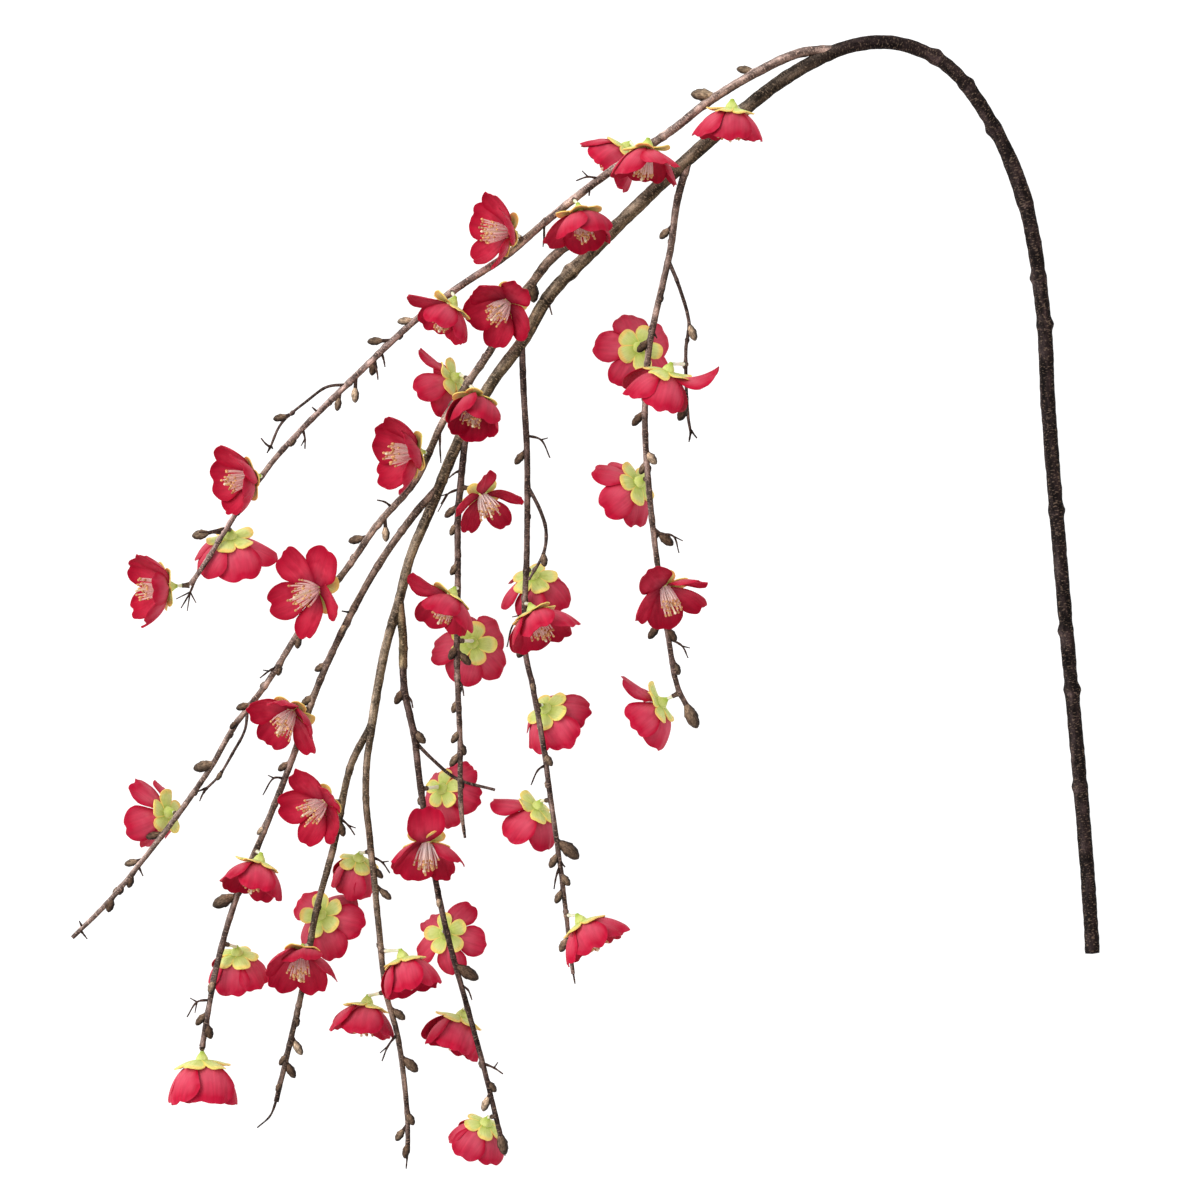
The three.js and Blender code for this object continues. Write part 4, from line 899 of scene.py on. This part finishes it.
def blade_surface(blade, rows, columns):
    """Both faces of a blade as grids of points, its root at the calyx and its tip row last.

    The centre line leaves the calyx at the start angle from the blossom's axis and bends to the
    end angle, late or early, and curls near its tip. Each column runs from the root to its own
    place on the tip, which has a shoulder on each side and notches (place, depth, width). The
    claw is how broad the root is against the whole. Across, the blade is hollow like a spoon of
    the given radius, leans by its twist, waves by its ruffle and has a crease along its middle.

    The outer face, which is the back of a petal, comes first, then the inner one. After them
    come each point's place along and across the blade, and how near the rim it is.
    """
    flat = np.linspace(-1, 1, columns)
    v = 0.45 * flat + 0.55 * np.sin(flat * math.pi / 2)
    shoulder, power = blade["shoulder"], blade["roundness"]
    reach = shoulder + (1 - shoulder) * (1 - np.abs(v) ** power) ** (1 / power)
    for at, depth, width in blade["notches"]:
        reach = reach - depth * np.exp(-((np.abs(v - at) / width) ** 1.7))
    rising = np.linspace(0, 1, rows)[:, None]
    along = rising * reach[None]
    claw = blade["claw"]
    widening = np.sin(np.clip(along / (shoulder * 1.08), 0, 1) * math.pi / 2) ** 1.2
    across = v[None] * (blade["width"] / 2 * (claw + (1 - claw) * widening))

    a = np.linspace(0, 1, 65)
    angle = blade["start"] + (blade["end"] - blade["start"]) * a ** blade["late"]
    angle = angle + blade["curl"] * np.clip(a - 0.66, 0, 1) ** 2 / 0.34**2
    step = blade["length"] / (len(a) - 1)
    halfway = (angle[1:] + angle[:-1]) / 2
    out = blade["root"][0] + np.concatenate([[0], np.cumsum(np.sin(halfway))]) * step
    up = blade["root"][1] + np.concatenate([[0], np.cumsum(np.cos(halfway))]) * step
    here = np.interp(along, a, angle)

    pitch, first_phase, second_phase = blade["waves"]
    waves = np.sin(v[None] * pitch + first_phase) + 0.6 * np.sin(v[None] * pitch * 2.1 + second_phase)
    inward = across**2 / (2 * blade["spoon"]) + across * blade["twist"]
    inward = inward + blade["ruffle"] * waves * np.clip(along, 0, 1) ** 2.5
    fold = np.exp(-((v[None] / 0.14) ** 2))
    inward = inward - blade["crease"] * fold * np.sin(np.clip(along, 0, 1) * math.pi)
    radial = np.interp(along, a, out) - np.cos(here) * inward
    height = np.interp(along, a, up) + np.sin(here) * inward
    cosine, sine = math.cos(blade["turn"]), math.sin(blade["turn"])
    x, y = cosine * radial - sine * across, sine * radial + cosine * across
    middle = np.stack([x, y, height], axis=2)
    normal = unit(np.cross(np.gradient(middle, axis=1), np.gradient(middle, axis=0)))
    half = normal * (blade["thickness"] / 2)
    rim = np.maximum(np.abs(v[None]) ** 1.5, rising**1.2)
    return middle + half, middle - half, along, across, rim


def add_blade(shape, blade, grid, to_world, shade):
    """One closed blade. Its tones say which face, how far along, how near the rim, and a shade."""
    rows, columns = grid
    outer, inner, along, across, rim = blade_surface(blade, rows, columns)
    total = rows * columns
    index = np.arange(total).reshape(rows, columns)
    a, b = index[:-1, :-1].ravel(), index[:-1, 1:].ravel()
    c, d = index[1:, 1:].ravel(), index[1:, :-1].ravel()
    faces = np.stack([a, b, c, d], axis=1).tolist()
    faces += (np.stack([a, d, c, b], axis=1) + total).tolist()
    loop = np.concatenate([index[0], index[1:, -1], index[-1, -2::-1], index[-2:0:-1, 0]])
    after = np.roll(loop, -1)
    faces += np.stack([after, loop, loop + total, after + total], axis=1).tolist()
    points = np.concatenate([outer.reshape(-1, 3), inner.reshape(-1, 3)])
    tones = np.zeros((2 * total, 4))
    tones[:total, 0] = 1
    tones[:, 1] = np.tile(along.ravel(), 2)
    tones[:, 2] = np.tile(rim.ravel(), 2)
    tones[:, 3] = shade
    lengthwise = along.ravel() * blade["length"]
    grains = np.stack([across.ravel(), lengthwise, np.full(total, shade * 40)], axis=1)
    shape.add(to_world(points), faces, tones, np.tile(grains, (2, 1)))


def petal_blade(leaf, cup, size, breadth, lean, rng):
    """Broad, cupped petal with a lobed, slightly waved tip."""
    lobes = rng.choice([2, 2, 3])
    spots = (np.arange(1, lobes) / lobes * 2 - 1) * 0.9 + rng.uniform(-0.15, 0.15, lobes - 1)
    notches = [(spot, rng.uniform(0.05, 0.11), rng.uniform(0.2, 0.3)) for spot in spots]
    closed = min(cup, 1)
    stray = rng.uniform(-10, 10) * (1.3 - closed)
    return {
        "turn": leaf / PETAL_COUNT * 2 * math.pi,
        "root": PETAL_ROOT,
        "start": math.radians(84 - 3 * cup - 60 * max(cup - 1, 0)),
        "end": math.radians(46 - 40 * cup - 60 * max(cup - 0.8, 0) + stray + lean),
        "late": 1.0 - 0.32 * closed,
        "curl": math.radians(rng.uniform(-10, 20 - 14 * closed)),
        "length": PETAL_LENGTH * size * rng.uniform(0.96, 1.03),
        "width": PETAL_WIDTH * size * breadth * rng.uniform(0.93, 1.07),
        "claw": 0.2,
        "shoulder": 0.56,
        "roundness": 2.15,
        "notches": notches,
        "spoon": rng.uniform(11, 15),
        "twist": 0.13 + rng.uniform(-0.2, 0.2),
        "waves": (rng.uniform(4, 7), rng.uniform(0, 6), rng.uniform(0, 6)),
        "ruffle": rng.uniform(0.3, 0.7),
        "crease": rng.uniform(0.2, 0.6),
        "thickness": PETAL_THICKNESS,
    }


def sepal_blade(leaf, cup, size, lean, rng):
    """Rounded lobe of the calyx, which leans back with the petals on it."""
    return {
        "turn": (leaf + 0.5) / PETAL_COUNT * 2 * math.pi + rng.uniform(-0.06, 0.06),
        "root": SEPAL_ROOT,
        "start": math.radians(88),
        "end": math.radians(94 - 40 * min(cup, 1.1) + rng.uniform(-6, 14) + lean),
        "late": 0.8,
        "curl": math.radians(rng.uniform(0, 24)),
        "length": SEPAL_LENGTH * size * rng.uniform(0.92, 1.06),
        "width": SEPAL_WIDTH * size * rng.uniform(0.92, 1.06),
        "claw": 0.5,
        "shoulder": 0.62,
        "roundness": 2.1,
        "notches": [],
        "spoon": rng.uniform(8, 12),
        "twist": rng.uniform(-0.08, 0.08),
        "waves": (rng.uniform(3, 5), rng.uniform(0, 6), rng.uniform(0, 6)),
        "ruffle": rng.uniform(0.05, 0.2),
        "crease": 0.15,
        "thickness": SEPAL_THICKNESS,
    }


def add_receptacle(shape, to_world, rng):
    """Top-shaped cup under the sepals, grown out of the stalk, with five soft ribs."""
    heights, radii = columns_of(RECEPTACLE_PROFILE)
    angle = corner_angles(RECEPTACLE_SIDES)
    rising = np.clip(heights / 3, 0, 1)[:, None]
    ribs = 1 + 0.05 * np.cos(PETAL_COUNT * angle[None] + math.pi) * rising
    ends = [[0, 0, heights[0] - 0.1], [0, 0, heights[-1] + 0.1]]
    points = np.concatenate([upright_rings(angle, radii[:, None] * ribs, heights), ends])
    tones = np.zeros((len(points), 4))
    tones[:, 0] = 0.5
    tones[:, 1] = np.clip(points[:, 2] / 5, 0, 1)
    tones[:, 3] = rng.uniform(0, 1)
    shape.add(to_world(points), tube_faces(len(heights), RECEPTACLE_SIDES), tones, points)


def add_stamens(shape, to_world, cup, size, rng):
    """Two whorls of curved filaments, each ending in an anther, round one longer style."""
    t, radii = columns_of(FILAMENT_PROFILE)
    radii = radii * FILAMENT_RADIUS
    is_anther = (t > ANTHER_BEGINS).astype(float)
    for k in range(FILAMENT_COUNT + 1):
        is_style = k == FILAMENT_COUNT
        outer = k % 2
        around = k / FILAMENT_COUNT * 2 * math.pi * 2 + rng.uniform(-0.2, 0.2)
        if is_style:
            spread, length, root = 0, FILAMENT_LENGTH * size * 1.1, 0.0
        else:
            widest = math.radians(WHORL_SPREADS[outer] * (1.15 - 0.6 * min(cup, 1)))
            spread = widest + rng.uniform(-0.12, 0.15)
            length = FILAMENT_LENGTH * size * rng.uniform(0.72, 1.06)
            root = 1.1 + 0.8 * outer
        flare = spread * (1 - 0.35 * t) + rng.uniform(-0.03, 0.03)
        distance = root + length * t * np.sin(flare)
        sway = rng.normal(size=2) * 0.35
        x = np.cos(around) * distance + sway[0] * t**2
        y = np.sin(around) * distance + sway[1] * t**2
        centres = np.stack([x, y, FILAMENT_FOOT + length * t * np.cos(flare)], axis=1)
        tones = np.zeros((len(t), 4))
        tones[:, 0] = is_anther * (not is_style)
        tones[:, 1] = t
        tones[:, 2] = is_style
        tones[:, 3] = rng.uniform()
        add_tube(shape, to_world(centres), radii * (1.15 if is_style else 1), 6, tones)


def make_blossom(index, row, seat):
    """Petals, calyx and stamens of one blossom, as three pieces that stand for its node."""
    cup, size, breadth = row[7:10]
    leans = row[10] if len(row) > 10 else (0,) * PETAL_COUNT
    rng = np.random.default_rng(100 + index)
    number = f"{index + 1:02d}"

    def to_world(points):
        """The blossom's own points on the part, and flat above the floor where they near it."""
        placed = np.asarray(points) @ seat["axes"] + seat["foot"]
        low = placed[:, 2] < FLOOR_NEAR
        depth = (placed[low, 2] - FLOOR_NEAR) / (FLOOR_NEAR - FLOOR_CLEARANCE)
        placed[low, 2] = FLOOR_CLEARANCE + (FLOOR_NEAR - FLOOR_CLEARANCE) * np.exp(depth)
        return placed

    petals, calyx, stamens = Shape(), Shape(), Shape()
    for leaf in range(PETAL_COUNT):
        blade = petal_blade(leaf, cup, size, breadth, leans[leaf], rng)
        add_blade(petals, blade, PETAL_GRID, to_world, rng.uniform())
    add_receptacle(calyx, to_world, rng)
    for leaf in range(PETAL_COUNT):
        beside = max(leans[leaf], leans[(leaf + 1) % PETAL_COUNT], 0)
        blade = sepal_blade(leaf, cup, size, min(SEPAL_FOLLOWS * beside, SEPAL_LEAN_MAX), rng)
        add_blade(calyx, blade, SEPAL_GRID, to_world, rng.uniform())
    add_stamens(stamens, to_world, cup, size, rng)
    petals.build(f"petals_{number}", petal_material, "petal", [f"bloom_{number}"])
    calyx.build(f"calyx_{number}", calyx_material, "calyx", [f"bloom_{number}"])
    stamens.build(f"stamens_{number}", stamen_material, "stamen", [f"bloom_{number}"])


def add_pedicel(shape, seat, rng):
    """Clear stalk from its peg to the foot of the calyx."""
    end = seat["spur_end"] + seat["outward"] * SEAT_GAP * 0.5
    start = seat["foot"] + seat["axes"][2] * 0.2
    line, share = catmull_rom(np.array([end, (start + end) / 2, start]), 5)
    radii = PEDICEL_RADIUS * (1 + 0.12 * np.cos(share / share[-1] * 2 * math.pi))
    add_tube(shape, line, radii, 10, [0, 0, 0, rng.uniform()], bulge=0.1)


def grey(value):
    """Grey of a material, where 0 is black and 1 white."""
    return (value, value, value)


class Material:
    """A material whose colour and relief come from its own nodes."""

    def __init__(self, name, roughness, **sockets):
        self.material = bpy.data.materials.new(name)
        self.material.use_nodes = True
        self.tree = self.material.node_tree
        self.shader = self.tree.nodes["Principled BSDF"]
        self.shader.inputs["Roughness"].default_value = roughness
        for socket, value in sockets.items():
            self.shader.inputs[socket.replace("_", " ")].default_value = value

    def node(self, kind, **inputs):
        made = self.tree.nodes.new(f"ShaderNode{kind}")
        for name, value in inputs.items():
            self.feed(made.inputs[name.replace("_", " ")], value)
        return made

    def feed(self, socket, value):
        if isinstance(value, bpy.types.NodeSocket):
            self.tree.links.new(value, socket)
        else:
            socket.default_value = value

    def attribute(self, name):
        made = self.tree.nodes.new("ShaderNodeAttribute")
        made.attribute_name = name
        return made.outputs

    def channels(self, socket):
        return self.node("SeparateColor", Color=socket).outputs

    def noise(self, vector, scale, detail=3.0):
        return self.node("TexNoise", Vector=vector, Scale=scale, Detail=detail).outputs["Fac"]

    def grain(self, scale, detail):
        """Noise over the piece's own surface, finer where the scale is greater."""
        made = self.tree.nodes.new("ShaderNodeMapping")
        self.feed(made.inputs["Vector"], self.attribute("grain")["Vector"])
        made.inputs["Scale"].default_value = scale
        return self.noise(made.outputs["Vector"], 1.0, detail)

    def ramp(self, factor, *stops):
        made = self.tree.nodes.new("ShaderNodeValToRGB")
        self.feed(made.inputs["Fac"], factor)
        elements = made.color_ramp.elements
        while len(elements) < len(stops):
            elements.new(0.5)
        for element, (position, colour) in zip(elements, stops):
            element.position = position
            element.color = (*colour, 1)
        return made.outputs["Color"]

    def greys(self, factor, *stops):
        """Ramp of greys, which is a mask where they run from 0 to 1."""
        return self.ramp(factor, *((position, grey(value)) for position, value in stops))

    def mix(self, factor, a, b, blend="MIX"):
        made = self.tree.nodes.new("ShaderNodeMix")
        made.data_type = "RGBA"
        made.blend_type = blend
        for name, value in (("Factor_Float", factor), ("A_Color", a), ("B_Color", b)):
            socket = next(s for s in made.inputs if s.identifier == name)
            value = (*value, 1) if isinstance(value, tuple) else value
            self.feed(socket, value)
        return next(s for s in made.outputs if s.identifier == "Result_Color")

    def shaded(self, colour, factor, *stops):
        """Colour made darker and lighter by a ramp of greys."""
        return self.mix(1.0, colour, self.greys(factor, *stops), "MULTIPLY")

    def math(self, operation, a, b=0.0, c=0.0):
        made = self.tree.nodes.new("ShaderNodeMath")
        made.operation = operation
        for socket, value in zip(made.inputs, (a, b, c)):
            self.feed(socket, value)
        return made.outputs["Value"]

    def finish(self, colour, height, depth, roughness=None):
        """The material with its colour, and relief of the given depth in millimetres."""
        self.feed(self.shader.inputs["Base Color"], colour)
        if roughness is not None:
            self.feed(self.shader.inputs["Roughness"], roughness)
        bump = self.node("Bump", Height=height, Distance=depth * MM, Strength=1.0)
        self.feed(self.shader.inputs["Normal"], bump.outputs["Normal"])
        return self.material


def make_bark():
    """Dry bark: the shoot's colour with its painted light and shade, streaks along the wood, pale flecks
    across it.
    """
    m = Material("bark", 0.8, Specular_IOR_Level=0.06)
    tone = m.attribute("tone")["Color"]
    streaks = m.grain((0.55, 0.55, 0.08), 4.0)
    patches = m.grain((0.2, 0.2, 0.12), 3.0)
    flecks = m.grain((0.7, 0.7, 1.7), 2.0)
    fine = m.grain((3.0, 3.0, 1.2), 3.0)
    colour = m.shaded(tone, streaks, (0.34, 0.4), (0.5, 0.95), (0.66, 1.8))
    colour = m.shaded(colour, patches, (0.36, 0.42), (0.5, 0.95), (0.64, 1.7))
    colour = m.shaded(colour, fine, (0.36, 0.62), (0.5, 1.0), (0.64, 1.5))
    fleck = m.mix(0.2, m.mix(1.0, tone, grey(2.4), "MULTIPLY"), rgb(200, 170, 140))
    colour = m.mix(m.greys(flecks, (0.57, 0), (0.65, 0.8)), colour, fleck)
    height = m.math("ADD", m.math("MULTIPLY", streaks, 0.7), m.math("MULTIPLY", fine, 0.35))
    height = m.math("ADD", height, m.math("MULTIPLY", flecks, 0.35))
    roughness = m.math("MULTIPLY_ADD", fine, 0.25, 0.58)
    return m.finish(colour, height, 1.1, roughness)


def make_petal():
    """Thin crimson cloth: deep inside, rosier and paler on its back, darker at its throat."""
    m = Material("petal", 0.62, Sheen_Weight=0.08, Sheen_Roughness=0.4, Specular_IOR_Level=0.12)
    m.shader.inputs["Sheen Tint"].default_value = (*rgb(255, 150, 160), 1)
    tone = m.attribute("tone")
    is_back, along, rim = m.channels(tone["Color"])[:3]
    streaks = m.grain((0.8, 0.09, 1.0), 2.0)
    mottle = m.greys(m.grain((0.2, 0.15, 1.0), 2.0), (0.46, 0), (0.7, 0.7))
    weave = m.grain((5.0, 5.0, 1.0), 2.0)
    throat = m.greys(along, (0.03, 0.75), (0.4, 0))
    inside = m.ramp(rim, (0.1, rgb(204, 62, 84)), (0.55, rgb(194, 38, 66)), (0.9, rgb(172, 2, 42)))
    inside = m.mix(mottle, inside, rgb(166, 4, 42))
    inside = m.mix(throat, inside, rgb(112, 4, 34))
    back = m.ramp(rim, (0.1, rgb(212, 90, 108)), (0.5, rgb(204, 70, 92)), (0.85, rgb(184, 10, 50)))
    back = m.mix(mottle, back, rgb(198, 48, 76))
    colour = m.mix(is_back, inside, back)
    colour = m.shaded(colour, streaks, (0.3, 0.88), (0.7, 1.08))
    colour = m.shaded(colour, tone["Alpha"], (0.0, 0.88), (1.0, 1.1))
    height = m.math("ADD", streaks, m.math("MULTIPLY", weave, 0.25))
    return m.finish(colour, height, 0.14)


def make_calyx():
    """Satin yellow-green lobes, greener at the heart, yellow along the rim."""
    m = Material("calyx", 0.5, Specular_IOR_Level=0.2)
    tone = m.attribute("tone")
    _, along, rim = m.channels(tone["Color"])[:3]
    patches = m.grain((0.35, 0.35, 1.0), 2.0)
    veins = m.grain((2.4, 0.3, 1.0), 3.0)
    green = ((0.05, rgb(168, 190, 74)), (0.3, rgb(204, 216, 116)), (0.8, rgb(224, 228, 146)))
    warm = m.mix(tone["Alpha"], rgb(252, 232, 124), rgb(250, 204, 112))
    colour = m.mix(m.greys(rim, (0.66, 0), (0.88, 0.95)), m.ramp(along, *green), warm)
    colour = m.mix(m.greys(patches, (0.54, 0), (0.72, 0.6)), colour, rgb(192, 204, 92))
    colour = m.shaded(colour, veins, (0.3, 0.9), (0.7, 1.06))
    return m.finish(colour, veins, 0.2)


def make_stamen():
    """Pinkish white threads with grainy anthers, pale yellow to brown."""
    m = Material("stamen", 0.5, Specular_IOR_Level=0.3)
    tone = m.attribute("tone")
    anther, along, style = m.channels(tone["Color"])[:3]
    specks = m.grain((4.0, 4.0, 4.0), 2.0)
    thread = ((0.0, rgb(255, 222, 216)), (0.3, rgb(255, 242, 238)), (0.85, rgb(255, 224, 212)))
    tip = m.mix(tone["Alpha"], rgb(240, 190, 128), rgb(176, 112, 70))
    colour = m.mix(anther, m.ramp(along, *thread), tip)
    colour = m.mix(style, colour, rgb(244, 228, 196))
    colour = m.shaded(colour, specks, (0.3, 0.86), (0.7, 1.1))
    return m.finish(colour, specks, 0.08)


def make_pedicel():
    """Whitish green, slightly see-through stalk."""
    glow = {"Subsurface_Weight": 0.25, "Subsurface_Scale": 0.002}
    m = Material("pedicel", 0.3, Specular_IOR_Level=0.5, **glow)
    cloud = m.grain((0.8, 0.8, 0.3), 2.0)
    colour = m.ramp(cloud, (0.35, rgb(216, 218, 176)), (0.65, rgb(240, 236, 214)))
    return m.finish(colour, cloud, 0.08)


def make_bud():
    """Dry bud scales, each darker in its furrow, with fine streaks toward the tip."""
    m = Material("bud", 0.5, Specular_IOR_Level=0.1)
    streaks = m.grain((2.2, 2.2, 0.4), 3.0)
    patches = m.grain((0.5, 0.5, 0.5), 2.0)
    colour = m.shaded(m.attribute("tone")["Color"], streaks, (0.34, 0.45), (0.66, 1.7))
    colour = m.mix(m.greys(patches, (0.58, 0), (0.7, 0.18)), colour, rgb(126, 98, 80))
    return m.finish(colour, streaks, 0.35)


bark_material = make_bark()
petal_material = make_petal()
calyx_material = make_calyx()
stamen_material = make_stamen()
pedicel_material = make_pedicel()
bud_material = make_bud()

wood = Shape()
for name in SHOOTS:
    add_shoot(wood, name)
twig_rng = np.random.default_rng(5)
for name, twiglets in TWIGLETS.items():
    for path, prongs in twiglets:
        add_twiglet(wood, traces[name], path, prongs, twig_rng)
for seat in seats:
    add_spur(wood, seat)
wood.build("wood", bark_material, "bark", ["branch"])

buds = Shape()
add_buds(buds)
buds.build("buds", bud_material, "bud", ["branch"])

stalks = Shape()
stalk_rng = np.random.default_rng(7)
for seat in seats:
    add_pedicel(stalks, seat, stalk_rng)
bloom_nodes = [f"bloom_{k + 1:02d}" for k in range(len(BLOSSOMS))]
stalks.build("pedicels", pedicel_material, "pedicel", bloom_nodes)

for index, row in enumerate(BLOSSOMS):
    make_blossom(index, row, seats[index])


def make_floor():
    """Pale floor that glows softly, so that it shows hardly a shadow."""
    half = FLOOR_SIDE_M / 2
    outline = ((-half, -half), (half, -half), (half, half), (-half, half))
    corners = [(x, y, -FLOOR_GAP_M) for x, y in outline]
    mesh = bpy.data.meshes.new("floor")
    mesh.from_pydata(corners, [], [(0, 1, 2, 3)])
    paint = Material("floor", 0.9, Emission_Strength=FLOOR_GLOW)
    paint.shader.inputs["Emission Color"].default_value = (1, 1, 1, 1)
    cloud = paint.noise(paint.node("TexCoord").outputs["Object"], 40.0)
    mesh.materials.append(paint.finish(paint.greys(cloud, (0.3, 0.24), (0.7, 0.26)), cloud, 0.02))
    floor = bpy.data.objects.new("floor", mesh)
    bpy.context.scene.collection.objects.link(floor)


def make_light():
    """Even light from all round, and a broad, soft lamp from the left."""
    world = bpy.data.worlds.new("studio")
    world.use_nodes = True
    background = world.node_tree.nodes["Background"]
    background.inputs["Color"].default_value = (1, 1, 1, 1)
    background.inputs["Strength"].default_value = SKY_STRENGTH
    bpy.context.scene.world = world
    bpy.context.scene.view_settings.view_transform = "Standard"
    lamp = bpy.data.lights.new("key", "SUN")
    lamp.energy = LAMP_STRENGTH
    lamp.angle = math.radians(LAMP_BREADTH)
    key = bpy.data.objects.new("key", lamp)
    key.rotation_euler = [math.radians(turn) for turn in LAMP_TURNS]
    bpy.context.scene.collection.objects.link(key)


def make_camera():
    """Long lens straight above, framed so that the picture's scale holds at the wood's height."""
    lens = bpy.data.cameras.new("camera")
    lens.lens = LENS_MM
    lens.sensor_width = SENSOR_MM
    lens.clip_start, lens.clip_end = 0.1, 100
    camera = bpy.data.objects.new("camera", lens)
    distance = PICTURE_PX * MM_PER_PX / 2 / (SENSOR_MM / 2 / LENS_MM)
    middle = place(PICTURE_PX / 2, PICTURE_PX / 2, WOOD_HEIGHT + distance)
    camera.location = middle * MM
    bpy.context.scene.collection.objects.link(camera)
    bpy.context.scene.camera = camera


make_floor()
make_light()
make_camera()
